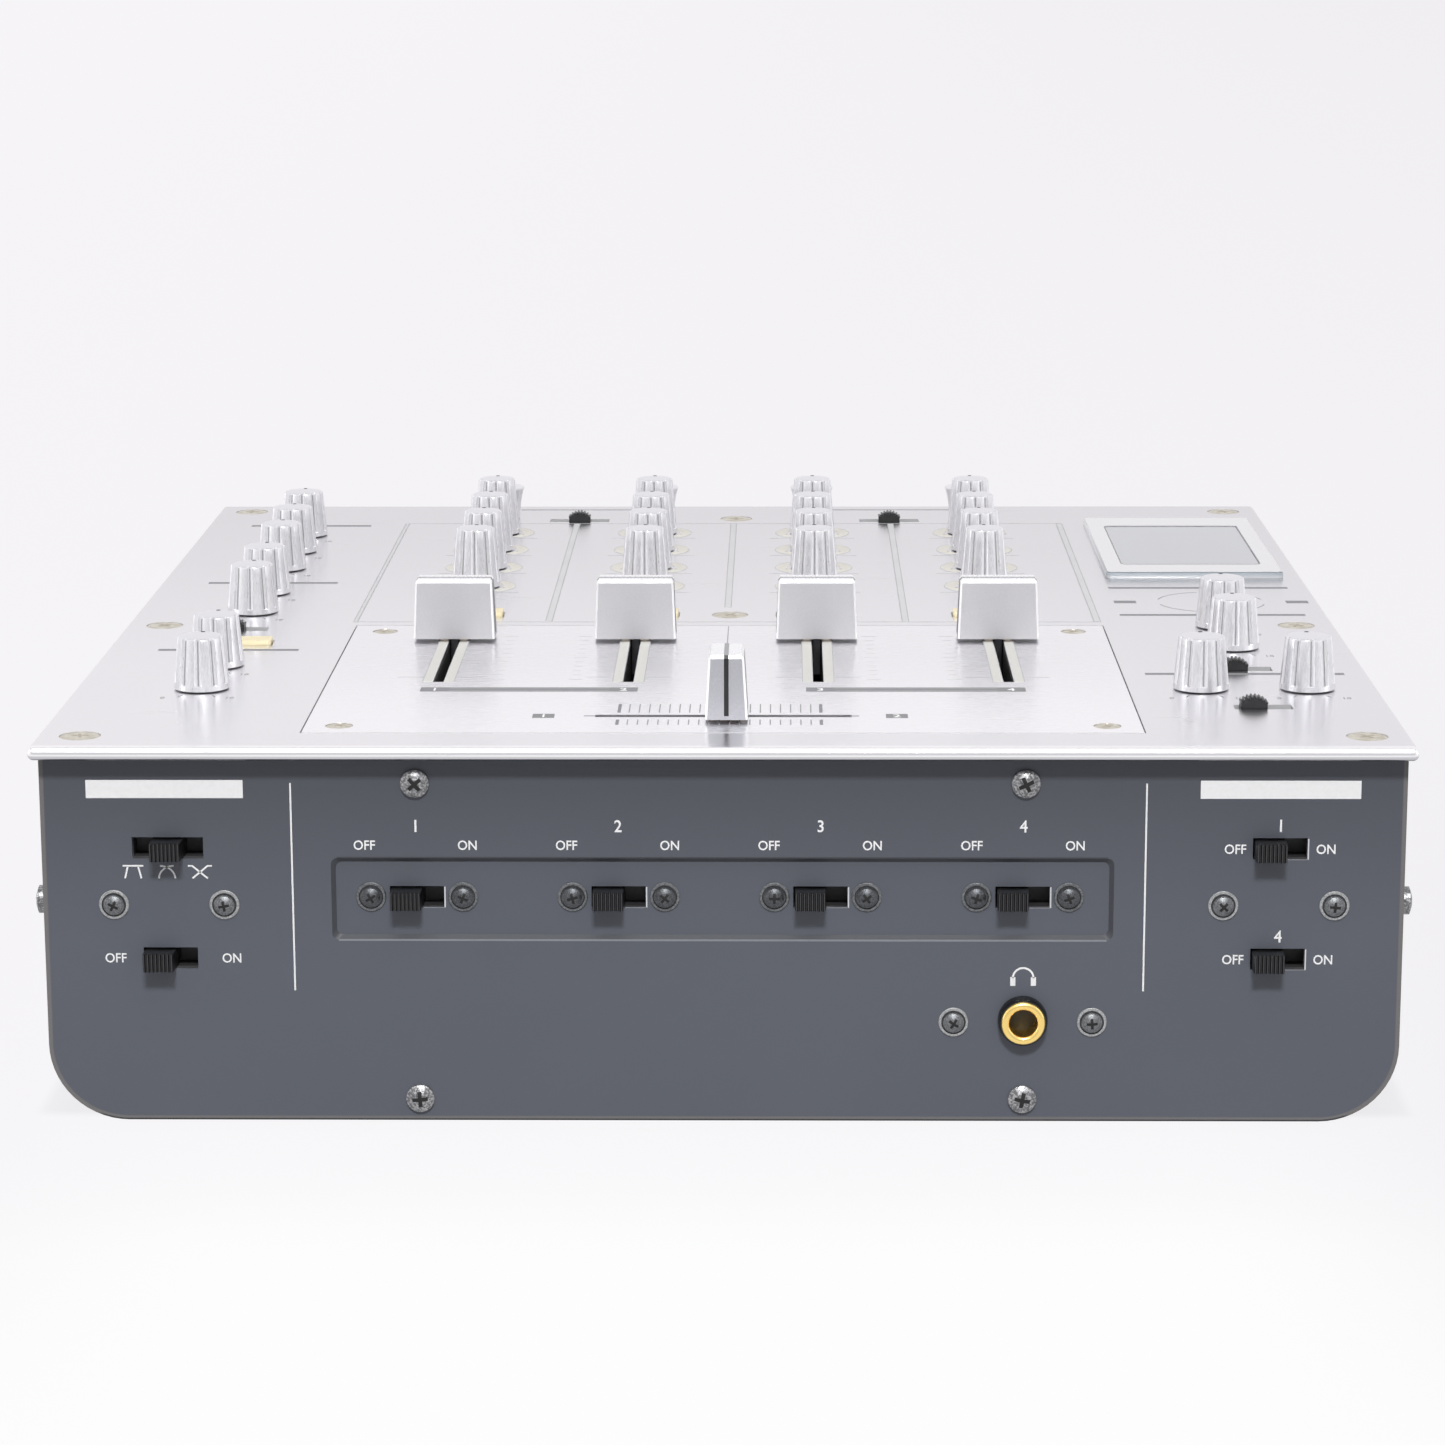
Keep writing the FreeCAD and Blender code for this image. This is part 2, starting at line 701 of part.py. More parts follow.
def make_buttons():
    body = rounded_box("button_body", "button_long", "button_deep", "button_body + button_rise",
                       "button_round", is_upright)
    centred = copy("button", [body], "-button_long / 2", "-button_deep / 2", "-button_body")
    placed = [copy(name, [centred], x, y, TOP) for name, x, y in button_places()]
    node("push_buttons", group("buttons", placed))


def make_front_switches():
    """Ribbed knobs that stand out of the front panel, each with a stem that runs into its switch."""
    bar = block("front_knob_bar", "front_knob_wide", "front_knob_out + front_thick + switch_stem_deep",
                "front_knob_high", y="(front_thick + switch_stem_deep - front_knob_out) / 2",
                z="-front_knob_high / 2")
    grooves = []
    for i in range(FRONT_RIBS):
        x = f"front_knob_wide * {(i + 0.5) / FRONT_RIBS - 0.5}"
        grooves.append(block(f"front_knob_groove_{i}", "2 * front_knob_rib", "2 * front_knob_rib",
                             "front_knob_high + 2", x, "-front_knob_out", "-front_knob_high / 2 - 1"))
    knob = cut("front_knob", bar, grooves)
    for name, x, z, _, rest, sink in front_switch_places():
        node(name, copy(name, [knob], f"{x} + {rest}", row(sink), z))


def recess_body():
    """Shallow tapered pan with rounded corners, pressed into the front panel along +Y."""
    body = DOC.addObject("PartDesign::Body", "recess_body")
    wedge = bind(body.newObject("PartDesign::AdditiveWedge", "recess_wedge"),
                 Xmin="-recess_half", Xmax="recess_half", Zmin="-recess_rise / 2", Zmax="recess_rise / 2",
                 Ymin="0", Ymax="recess_sink",
                 X2min="recess_slope - recess_half", X2max="recess_half - recess_slope",
                 Z2min="recess_slope - recess_rise / 2", Z2max="recess_rise / 2 - recess_slope")
    DOC.recompute()
    corners = body.newObject("PartDesign::Fillet", "recess_corners")
    slanted = edges(wedge.Shape, lambda edge: edge.BoundBox.YLength > DIMENSIONS["recess_sink"] / 2)
    corners.Base = (wedge, slanted)
    bind(corners, Radius="recess_corner")
    return body


def make_front_panel():
    sheet = copy("front_sheet", [rounded_box("front_body", "case_width", "front_thick", "case_height",
                                             "case_corner", is_low_corner)],
                 "-case_width / 2", FRONT, "foot_height")
    pressed = cut("front_pressed", sheet, [copy("recess", [recess_body()], y=FRONT,
                                            z=level("recess_level - recess_drop"))])
    holes = [rod("jack_hole", "jack_hole", "front_thick + 2", "jack_column", row("-1"), level("jack_level"),
                 INTO_FRONT)]
    for name, x, z, slot, _, _ in front_switch_places():
        holes.append(block(f"{name}_hole", slot, "front_thick + 4", "front_slot_high", x, row("0"),
                           f"{z} - front_slot_high / 2"))
    shank = "screw_shank + screw_slack"
    for i, (x, z) in enumerate(pan_screw_places()):
        holes.append(rod(f"pan_screw_{i}_hole", shank, "front_thick + 2", x, row("-1"), z, INTO_FRONT))
    for i, (x, z, _) in enumerate(washer_screw_places()):
        holes.append(rod(f"washer_screw_{i}_hole", shank, "front_thick + 2", x, row("-1"), z, INTO_FRONT))
    node("front_panel", cut("front_panel_cut", pressed, holes))


def make_case():
    """Sheet wrapped round the underside, the sides and the back, with tabs turned in under the top panel."""
    outer = copy("case_outer", [rounded_box("case_outer_body", "case_width", f"{CASE_DEPTH} - front_thick",
                                            "case_height", "case_corner", is_low_corner)],
                 "-case_width / 2", row("front_thick"), "foot_height")
    deep = f"({CASE_DEPTH} - front_thick - rear_thick)"
    inner = copy("case_inner", [rounded_box("case_inner_body", "case_width - 2 * case_wall", f"{deep} + 1",
                                            "case_height", "case_corner - case_wall", is_low_corner)],
                 "case_wall - case_width / 2", row("front_thick - 1"), "foot_height + case_wall")
    parts = [cut("case_wrap", outer, [inner])]
    tab_rows = ("front_thick + tab_depth / 2", "screw_middle_row",
                f"{CASE_DEPTH} - rear_thick - tab_depth / 2")
    for sign in ("-", "+"):
        for middle in tab_rows:
            parts.append(block(f"tab_{len(parts)}", "tab_width", "tab_depth", "case_wall",
                               f"{sign}(case_width / 2 - tab_width / 2)", row(middle),
                               "foot_height + case_height - case_wall"))
    way = through("tab_hole", "screw_shank + screw_slack", "-2 * plate_thick", "0")
    holes = [copy(f"tab_hole_{i}", [way], x, y, TOP)
             for i, (x, y) in enumerate(big_screw_places()) if x != "0"]
    for side, turn in (("-", OUT_OF_LEFT), ("", OUT_OF_RIGHT)):
        holes.append(rod(f"side_hole_{len(holes)}", "screw_shank + screw_slack", "case_wall + 2",
                         f"{side}(case_width / 2 - case_wall - 1)", row("side_screw_row"),
                         level("side_screw_level"), turn))
    node("case", cut("case_cut", fuse("case_folded", parts), holes + rear_holes()))


def rear_holes():
    """Ways through the back of the case for its sockets."""
    start = f"{REAR} - rear_thick - 1"
    holes = []
    for i, (x, z) in enumerate(phono_places()):
        holes.append(rod(f"phono_{i}_hole", "phono_hole", "rear_thick + 2", x, start, z, OUT_OF_REAR))
    for sign in ("-", "+"):
        holes.append(rod(f"post_hole_{len(holes)}", "post_stud + screw_slack", "rear_thick + 2",
                         f"{sign}post_half", start, level("post_level"), OUT_OF_REAR))
    margin = "2 * (inlet_wall + inlet_gap)"
    holes.append(block("inlet_hole", f"inlet_wide + {margin}", "rear_thick + 2", f"inlet_high + {margin}",
                       "mains_column", f"{REAR} - rear_thick / 2",
                       f"{level('inlet_level')} - (inlet_high + {margin}) / 2"))
    return holes


def make_feet():
    feet = []
    for x in ("-foot_column", "foot_column"):
        for y in (row("foot_inset"), f"{REAR} - foot_inset"):
            feet.append(cone(f"foot_{len(feet)}", "foot_radius - foot_taper", "foot_radius", "foot_height",
                             x, y, "0"))
    node("feet", group("four_feet", feet))


def cross(name, radius, top):
    """Cross-shaped cutter for a screw head whose face is at top."""
    size = f"1.2 * {radius}"
    return fuse(name, [block(f"{name}_a", size, "cross_wide", "cross_deep + 1", z=f"{top} - cross_deep"),
                       block(f"{name}_b", "cross_wide", size, "cross_deep + 1", z=f"{top} - cross_deep")])


def screw(name, head, low, high, length, dome):
    """Screw along Z with its head from low to high. The head is part of a ball, lower by dome at its rim."""
    radius = f"({head} * {head} + {dome} * {dome}) / (2 * {dome})"
    ball = move(bind(DOC.addObject("Part::Sphere", f"{name}_ball"), Radius=radius), z=f"({high}) - {radius}")
    domed = DOC.addObject("Part::Common", f"{name}_head")
    domed.Base, domed.Tool = rod(f"{name}_disc", head, f"({high}) - ({low})", z=low), ball
    shank = rod(f"{name}_shank", "screw_shank", f"{length} + ({low})", z=f"-({length})")
    return cut(name, fuse(f"{name}_blank", [domed, shank]), [cross(f"{name}_cross", head, high)])


def make_screws():
    big = screw("big_screw", "big_head", "-flush_head_thick", "flush_head_rise", "screw_long", "flush_dome")
    small = screw("small_screw", "small_head", "-flush_head_thick", "flush_head_rise", "screw_long - 2",
                  "flush_dome")
    pan = screw("pan_screw", "pan_head", "0", "pan_head_thick", "screw_long", "pan_dome")
    headed = screw("washer_screw", "set_head", "set_washer_thick", "set_washer_thick + set_head_thick",
                   "screw_long", "set_dome")
    side_screw = screw("side_screw", "pan_head", "0", "side_head_thick", "screw_long", "side_dome")
    washer = cut("washer", fuse("washer_blank", [
        rod("washer_disc", "set_washer", "set_washer_thick - washer_step_thick"),
        rod("washer_rise", "washer_step", "set_washer_thick")]),
        [through("washer_hole", "screw_shank + screw_slack", "-1", "2")])
    screws = []
    for i, (x, y) in enumerate(big_screw_places()):
        screws.append(copy(f"big_screw_{i}", [big], x, y, TOP))
    for i, (x, y) in enumerate(small_screw_places()):
        screws.append(copy(f"small_screw_{i}", [small], x, y, TOP))
    for i, (x, z) in enumerate(pan_screw_places()):
        screws.append(copy(f"pan_screw_{i}", [pan], x, FRONT, z, OUT_OF_FRONT))
    for i, (x, z, sink) in enumerate(washer_screw_places()):
        screws.append(copy(f"washer_screw_{i}", [headed, washer], x, row(sink), z, OUT_OF_FRONT))
    for x, turn in (("-case_width / 2", OUT_OF_LEFT), ("case_width / 2", OUT_OF_RIGHT)):
        screws.append(copy(f"side_screw_{turn[1]}", [side_screw], x, row("side_screw_row"),
                           level("side_screw_level"), turn))
    node("screws", group("all_screws", screws))


def make_jack():
    """Headphone jack: boxed contacts behind the panel, a threaded neck through it, and the nut in front."""
    x, z = "jack_column", level("jack_level")
    face = row("-jack_washer_thick")
    front = row("-jack_washer_thick - jack_nut_thick")
    blank = fuse("jack_blank", [
        block("jack_box", "jack_box", "jack_box_deep", "jack_box", x, row("front_thick + jack_box_deep / 2"),
              f"{z} - jack_box / 2"),
        rod("jack_neck", "jack_neck", "front_thick + jack_washer_thick + 1", x, face, z, INTO_FRONT),
        rod("jack_nut", "jack_nut", "jack_nut_thick", x, front, z, INTO_FRONT)])
    bore = rod("jack_bore", "jack_bore", "jack_bore_deep + 1", x, f"{front} - 1", z, INTO_FRONT)
    disc = rod("jack_ring_disc", "jack_washer", "jack_washer_thick", x, face, z, INTO_FRONT)
    eye = rod("jack_ring_hole", "jack_neck + screw_slack", "jack_washer_thick + 2", x, row("-2"), z,
              INTO_FRONT)
    ring = cut("jack_ring", disc, [eye])
    node("phones_jack", group("jack", [cut("jack_body", blank, [bore]), ring]))


def make_rear_connectors():
    """Phono sockets with their rings, earth posts and the mains inlet, round ones drawn with the mouth up."""
    phono = cut("phono", fuse("phono_blank", [
        rod("phono_shell", "phono_shell", "phono_out - phono_ring_thick", z="phono_ring_thick"),
        rod("phono_barrel", "phono_barrel", "phono_barrel_deep + phono_out - 1", z="-phono_barrel_deep")]),
        [rod("phono_bore", "phono_bore", "phono_out", z="1")])
    ring = cut("phono_ring", rod("phono_ring_disc", "phono_ring", "phono_ring_thick"),
               [through("phono_ring_hole", "phono_barrel + screw_slack", "-1", "2")])
    post = fuse("post", [
        rod("post_knob", "post_radius", "overall_depth - plate_depth + front_overhang - 3", z="3"),
        rod("post_collar", "post_radius + 1", "2"),
        rod("post_stud", "post_stud", "12", z="-8")])
    parts = [copy(f"phono_{i}", [phono, ring], x, REAR, z, OUT_OF_REAR)
             for i, (x, z) in enumerate(phono_places())]
    for sign in ("-", "+"):
        parts.append(copy(f"post_{len(parts)}", [post], f"{sign}post_half", REAR, level("post_level"),
                          OUT_OF_REAR))
    x, z = "mains_column", level("inlet_level")
    shell = fuse("inlet_shell", [
        block("inlet_box", "inlet_wide + 2 * inlet_wall", "inlet_deep + inlet_wall",
              "inlet_high + 2 * inlet_wall", x, f"{REAR} - (inlet_deep + inlet_wall) / 2",
              f"{z} - inlet_high / 2 - inlet_wall"),
        block("inlet_lip", "inlet_wide + 2 * inlet_lip", "inlet_wall", "inlet_high + 2 * inlet_lip",
              x, f"{REAR} + inlet_wall / 2", f"{z} - inlet_high / 2 - inlet_lip")])
    mouth = block("inlet_mouth", "inlet_wide", "inlet_deep + inlet_wall + 1", "inlet_high", x,
                  f"{REAR} + (inlet_wall + 1 - inlet_deep) / 2", f"{z} - inlet_high / 2")
    parts.append(cut("inlet", shell, [mouth]))
    node("rear_connectors", group("connectors", parts))


def control_bodies():
    """What the knobs, levers and buttons work: potentiometers, fader tracks and switches."""
    pot = cut("pot", fuse("pot_blank", [
        rod("pot_can", "pot_radius", "pot_bottom - pot_top", z="-pot_bottom"),
        rod("pot_neck", "pot_bush", "pot_top - plate_thick + 1", z="-pot_top - 1")]),
        [through("pot_way", "pot_bore", "-shaft_depth - 1", "0")])
    track_base = "-fader_plate_thick - track_deep"
    track = cut("track", block("track_box", "track_wide", "track_long", "track_deep", z=track_base),
                [block("track_way", "slot_wide", "slot_long", "track_deep", z=f"track_floor {track_base}")])
    slide = cut("slide", block("slide_box", "switch_body_long", "switch_body_wide", "switch_body_deep",
                               z="-plate_thick - switch_body_deep"),
                [block("slide_way", "slider_slot_three", "slider_slot_deep", "switch_stem_deep + 2",
                       z="-plate_thick - switch_stem_deep - 1")])
    front_box = block("front_slide_box", "front_body_long", "switch_body_deep", "switch_body_wide",
                      y="front_thick + switch_body_deep / 2", z="-switch_body_wide / 2")
    front = cut("front_slide", front_box,
                [block("front_slide_way", "front_slot_three", "switch_stem_deep + 2", "front_slot_high",
                       y="front_thick + switch_stem_deep / 2", z="-front_slot_high / 2")])
    push = block("push", "push_size", "push_size", "pot_bottom - push_top", z="-pot_bottom")
    bodies = [copy(f"{name}_pot", [pot], x, y, TOP) for name, _, x, y in knob_places()]
    for channel in CHANNELS:
        bodies.append(copy(f"selector_{channel}_pot", [pot], channel_column(channel), row("selector_row"),
                           TOP))
    for name, x, y, across in fader_places():
        bodies.append(copy(f"{name}_track", [track], x, y, TOP, ((0, 0, 1), 90) if across else None))
    for name, x, y, _, _ in slider_places():
        bodies.append(copy(f"{name}_body", [slide], x, y, TOP))
    for name, x, z, _, _, _ in front_switch_places():
        bodies.append(copy(f"{name}_body", [front], x, FRONT, z))
    for name, x, y in button_places():
        bodies.append(copy(f"{name}_push", [push], x, y, TOP))
    return bodies


def board(name, width, front, back, column):
    return block(name, width, f"{back} - {front}", "board_thick", column, row(f"({back} + {front}) / 2"),
                 f"{TOP} - pot_bottom - board_thick")


def make_electronics():
    """Control bodies on their boards, the main board on its spacers, and the mains transformer."""
    floor = "(foot_height + case_wall)"
    parts = [
        board("left_board", "side_board_width", "left_board_front", "left_board_back", "-side_board_column"),
        board("right_board", "side_board_width", "right_board_front", "right_board_back",
              "side_board_column"),
        board("channel_board", "2 * channel_board_half", "channel_board_front", "channel_board_back", "0"),
        block("main_board", "main_board_width", "main_board_depth", "board_thick", "main_board_column",
              row("main_board_row"), f"{floor} + spacer_height"),
    ]
    for x in ("-", "+"):
        for y in ("-", "+"):
            parts.append(rod(f"spacer_{len(parts)}", "spacer_radius", "spacer_height",
                             f"main_board_column {x} (main_board_width / 2 - spacer_inset)",
                             f"{row('main_board_row')} {y} (main_board_depth / 2 - spacer_inset)", floor))
    parts.append(block("core", "core_width", "core_depth", "core_height", "core_column", row("core_row"),
                       floor))
    for sign in ("-", "+"):
        parts.append(block(f"coil_{len(parts)}", "coil_width", "coil_depth", "coil_height", "core_column",
                           f"{row('core_row')} {sign} (core_depth + coil_depth) / 2",
                           f"{floor} + (core_height - coil_height) / 2"))
    node("electronics", group("inside", control_bodies() + parts))


def check_and_export():
    DOC.recompute()
    for thing in DOC.Objects:
        if "Invalid" in thing.State or "Error" in thing.State:
            raise RuntimeError(f"{thing.Label} failed: {thing.State}")
    for thing in NODES:
        if thing.Shape.isNull() or not thing.Shape.isValid() or not thing.Shape.Solids:
            raise RuntimeError(f"{thing.Label} has no valid shape")
    os.makedirs("parts", exist_ok=True)
    for thing in NODES:
        thing.Shape.exportStep(f"parts/{thing.Label}.step")
        print(f"{thing.Label}: {len(thing.Shape.Solids)} solids, {thing.Shape.Volume / 1000:.2f} cm3")
    whole = Part.makeCompound([thing.Shape for thing in NODES]).BoundBox
    print(f"{len(NODES)} pieces, {whole.XLength:.2f} x {whole.YLength:.2f} x {whole.ZLength:.2f} mm")
    print(f"centre {whole.Center.x:.3f}, {whole.Center.y:.3f}, lowest {whole.ZMin:.3f}")


fill_sheet()
make_top_panel()
make_fader_panel()
make_display()
make_knobs()
make_selectors()
make_faders()
make_sliders()
make_buttons()
make_front_switches()
make_front_panel()
make_case()
make_feet()
make_screws()
make_jack()
make_rear_connectors()
make_electronics()
check_and_export()
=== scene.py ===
import math

import bpy
from mathutils import Matrix, Vector


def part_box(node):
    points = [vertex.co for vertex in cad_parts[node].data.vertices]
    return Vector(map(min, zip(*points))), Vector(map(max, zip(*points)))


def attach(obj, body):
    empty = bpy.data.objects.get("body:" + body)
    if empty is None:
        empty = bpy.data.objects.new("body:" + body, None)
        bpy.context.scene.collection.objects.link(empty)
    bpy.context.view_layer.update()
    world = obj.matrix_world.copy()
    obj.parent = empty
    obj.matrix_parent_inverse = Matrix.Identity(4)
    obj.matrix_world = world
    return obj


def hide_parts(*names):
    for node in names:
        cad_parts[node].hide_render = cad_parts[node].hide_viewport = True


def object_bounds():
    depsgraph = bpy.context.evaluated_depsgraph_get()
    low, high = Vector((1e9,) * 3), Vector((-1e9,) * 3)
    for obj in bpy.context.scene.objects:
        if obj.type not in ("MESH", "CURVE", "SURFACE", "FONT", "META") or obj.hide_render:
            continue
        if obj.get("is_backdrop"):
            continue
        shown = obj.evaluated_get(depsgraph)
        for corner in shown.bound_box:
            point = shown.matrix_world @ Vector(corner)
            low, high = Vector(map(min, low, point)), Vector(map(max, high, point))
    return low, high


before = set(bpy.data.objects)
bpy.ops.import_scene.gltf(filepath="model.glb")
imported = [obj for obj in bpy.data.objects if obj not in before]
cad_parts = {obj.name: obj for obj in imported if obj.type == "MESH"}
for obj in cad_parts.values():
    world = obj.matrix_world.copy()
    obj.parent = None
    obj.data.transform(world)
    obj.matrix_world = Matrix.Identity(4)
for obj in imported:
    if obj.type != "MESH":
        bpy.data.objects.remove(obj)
cad_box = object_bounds()

# Sizes are in millimetres. Rows run back from the front panel's face, levels up from the case's underside.
MM = 0.001
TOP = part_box("top_panel")[1].z / MM
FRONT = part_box("front_panel")[0].y / MM
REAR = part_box("case")[1].y / MM
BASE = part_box("case")[0].z / MM
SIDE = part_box("front_panel")[1].x / MM
CASE_CORNER = 18.5
CHANNELS = (1, 2, 3, 4)
BANDS = ("low", "mid", "high", "trim")
WIDE_KNOBS = ("left_upper_knob_1", "left_upper_knob_2", "left_upper_knob_3", "left_middle_knob_1",
              "left_middle_knob_2", "left_lower_knob_1", "left_lower_knob_2", "right_upper_knob_1",
              "right_upper_knob_2", "right_lower_knob_left", "right_lower_knob_right")
TALL_KNOBS = tuple(f"ch{channel}_{band}_knob" for channel in CHANNELS for band in BANDS)
FADERS = tuple(f"ch{channel}_fader" for channel in CHANNELS)
TOP_SWITCHES = ("rear_left_switch", "rear_right_switch", "left_switch", "right_upper_switch",
                "right_lower_switch")
FRONT_SWITCHES = ("curve_switch", "crossfader_reverse_switch", "ch1_start_switch", "ch4_start_switch",
                  *(f"ch{channel}_reverse_switch" for channel in CHANNELS))


def centre(node):
    """Middle of a CAD node's box, in millimetres."""
    low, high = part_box(node)
    return (low + high) / 2 / MM


# Shader maths

class Wire:
    """A socket of a material's node tree. Operators on it add Math nodes."""

    def __init__(self, tree, socket):
        self.tree = tree
        self.socket = socket

    def node(self, kind, settings, sockets, out=0):
        """Adds a node, sets its settings, then gives its sockets values or links."""
        made = self.tree.nodes.new(kind)
        for name, value in settings.items():
            setattr(made, name, value)
        for key, value in sockets.items():
            if isinstance(value, Wire):
                self.tree.links.new(value.socket, made.inputs[key])
            else:
                made.inputs[key].default_value = value
        return Wire(self.tree, made.outputs[out])

    def math(self, operation, *values):
        return self.node("ShaderNodeMath", {"operation": operation}, dict(enumerate(values)))

    def __add__(self, other):
        return self.math("ADD", self, other)

    def __sub__(self, other):
        return self.math("SUBTRACT", self, other)

    def __rsub__(self, other):
        return self.math("SUBTRACT", other, self)

    def __mul__(self, other):
        return self.math("MULTIPLY", self, other)

    def __gt__(self, other):
        return self.math("GREATER_THAN", self, other)

    def __lt__(self, other):
        return self.math("LESS_THAN", self, other)

    def __abs__(self):
        return self.math("ABSOLUTE", self)

    __radd__ = __add__
    __rmul__ = __mul__


def tint(red, green, blue):
    """Linear colour of a screen colour given from 0 to 255."""
    def linear(value):
        value /= 255
        return value / 12.92 if value < 0.04045 else ((value + 0.055) / 1.055) ** 2.4
    return linear(red), linear(green), linear(blue), 1.0


def shade(colour, factor):
    return (*(part * factor for part in colour[:3]), 1.0)


def mix(mask, low, high):
    """Colour that goes from low to high with the mask."""
    return mask.node("ShaderNodeMix", {"data_type": "RGBA"}, {0: mask, 6: low, 7: high}, out=2)


def noise(place, size, detail=3.0):
    return place.node("ShaderNodeTexNoise", {}, {"Vector": place, "Scale": 1 / size, "Detail": detail})


def stretch(place, x, y, z):
    return place.node("ShaderNodeVectorMath", {"operation": "MULTIPLY"}, {0: place, 1: (x, y, z)})


def axis(place, letter):
    return place.node("ShaderNodeSeparateXYZ", {}, {0: place}, out="XYZ".index(letter))


def clamp(wire, low, high):
    """Goes smoothly from 0 to 1 as the wire goes from low to high."""
    return wire.node("ShaderNodeMapRange", {"interpolation_type": "SMOOTHSTEP"},
                     {"Value": wire, "From Min": low, "From Max": high})


def bump(height, rise):
    """Normal of a surface whose height, from 0 to 1, stands for rise millimetres."""
    return height.node("ShaderNodeBump", {}, {"Height": height, "Distance": rise * MM})


def facing(place, letter):
    """How far the surface faces along an axis of the piece, from 0 to 1."""
    normal = place.node("ShaderNodeNewGeometry", {}, {}, out="True Normal")
    return abs(axis(normal, letter))


def finish(name, paint, **fixed):
    """Material whose varying sockets come from paint, given the place on the piece in millimetres."""
    material = bpy.data.materials.new(name)
    material.use_nodes = True
    tree = material.node_tree
    shader = tree.nodes["Principled BSDF"]
    for socket, value in fixed.items():
        shader.inputs[socket.replace("_", " ")].default_value = value
    metres = Wire(tree, tree.nodes.new("ShaderNodeTexCoord").outputs["Object"])
    place = metres.node("ShaderNodeVectorMath", {"operation": "SCALE"}, {0: metres, "Scale": 1 / MM})
    for socket, wire in paint(place).items():
        tree.links.new(wire.socket, shader.inputs[socket])
    return material


def grained(name, dull, bright, size, detail, rough, along=(1, 1, 1), limits=None, rise=None, **fixed):
    """Finish whose one noise gives colour, roughness and grain. rough holds its least value and its rise."""
    def paint(place):
        grain = noise(stretch(place, *along), size, detail)
        if limits:
            grain = clamp(grain, *limits)
        sockets = {"Base Color": mix(grain, dull, bright), "Roughness": grain * rough[1] + rough[0]}
        if rise:
            sockets["Normal"] = bump(grain, rise)
        return sockets
    return finish(name, paint, **fixed)


def ink(name, colour, rough=0.5):
    """Screen printed ink of one colour, slightly uneven. The same flat colour also lays painted highlight,
    shade and reflection on lips, screw crosses and the cap line's top.
    """
    return grained(name, shade(colour, 0.92), shade(colour, 1.06), 1.2, 4, (rough, 0.12))


def fine_zinc(name, dull, bright, rough, rise, metallic):
    """Finely speckled zinc of the small screws and their washers."""
    return grained(name, dull, bright, 0.35, 4, (rough, 0.1), limits=(0.3, 0.75), rise=rise,
                   Metallic=metallic)


# Finishes

def brushed_plate(place):
    """Satin aluminium sheet: grain along its width, painted shade greying it to the back and right, a painted
    highlight along its front edge and painted shade low on its nose, matt on slot walls.
    """
    grain = noise(stretch(place, 0.03, 1, 1), 0.16)
    cloud = noise(place, 38)
    worn = clamp(noise(stretch(place, 0.2, 1, 1), 5, 6), 0.62, 0.75)
    column, row, height = (axis(place, letter) for letter in "XYZ")
    # Masks of painted light: shade to the back and right, a highlight along the front edge, shade low on the
    # nose and under it.
    back = clamp(row, FRONT + 40, FRONT + 330)
    near = clamp(row, FRONT - 2, FRONT - 4)
    right = clamp(column, 40, 150)
    nose = clamp(height, TOP - 1.8, TOP - 2.2)
    underside = clamp(height, TOP - 2.55, TOP - 2.85)
    colour = mix(cloud * 0.6 + grain * 0.4, tint(230, 230, 232), tint(239, 238, 239))
    # Painted shade to the right and back, and a painted highlight along the front edge.
    colour = mix(right * 0.5, colour, tint(218, 217, 220))
    colour = mix(back * 0.9, colour, tint(214, 213, 215))
    colour = mix(near * 0.8, colour, tint(255, 254, 255))
    colour = mix(worn * 0.25, colour, tint(222, 221, 222))
    # Painted shade on the lower nose, darker still under it.
    colour = mix(nose, colour, tint(207, 207, 210))
    colour = mix(underside * 0.8, colour, tint(120, 121, 125))
    inside = (row > FRONT + 6) * (row < FRONT + 336) * (abs(column) < 156)
    wall = inside * (height < TOP - 0.04) * (facing(place, "Z") < 0.3)
    return {"Base Color": mix(wall, colour, tint(205, 205, 207)),
            "Roughness": grain * 0.06 + cloud * 0.04 + worn * 0.04 + 0.2,
            "Metallic": 1 - wall,
            "Normal": bump(grain, 0.003)}


def lighter_plate(place):
    """The fader panel's finer sheet, a little whiter than the top panel, with a painted highlight towards the
    front.
    """
    grain = noise(stretch(place, 0.03, 1, 1), 0.12)
    cloud = noise(place, 30)
    # Painted highlight growing towards the front of the sheet.
    near = clamp(axis(place, "Y"), FRONT + 110, FRONT + 15)
    colour = mix(cloud * 0.5 + grain * 0.5, tint(237, 236, 238), tint(243, 242, 244))
    return {"Base Color": mix(near * 0.8, colour, tint(252, 251, 253)),
            "Roughness": grain * 0.06 + cloud * 0.04 + 0.22,
            "Normal": bump(grain, 0.003)}


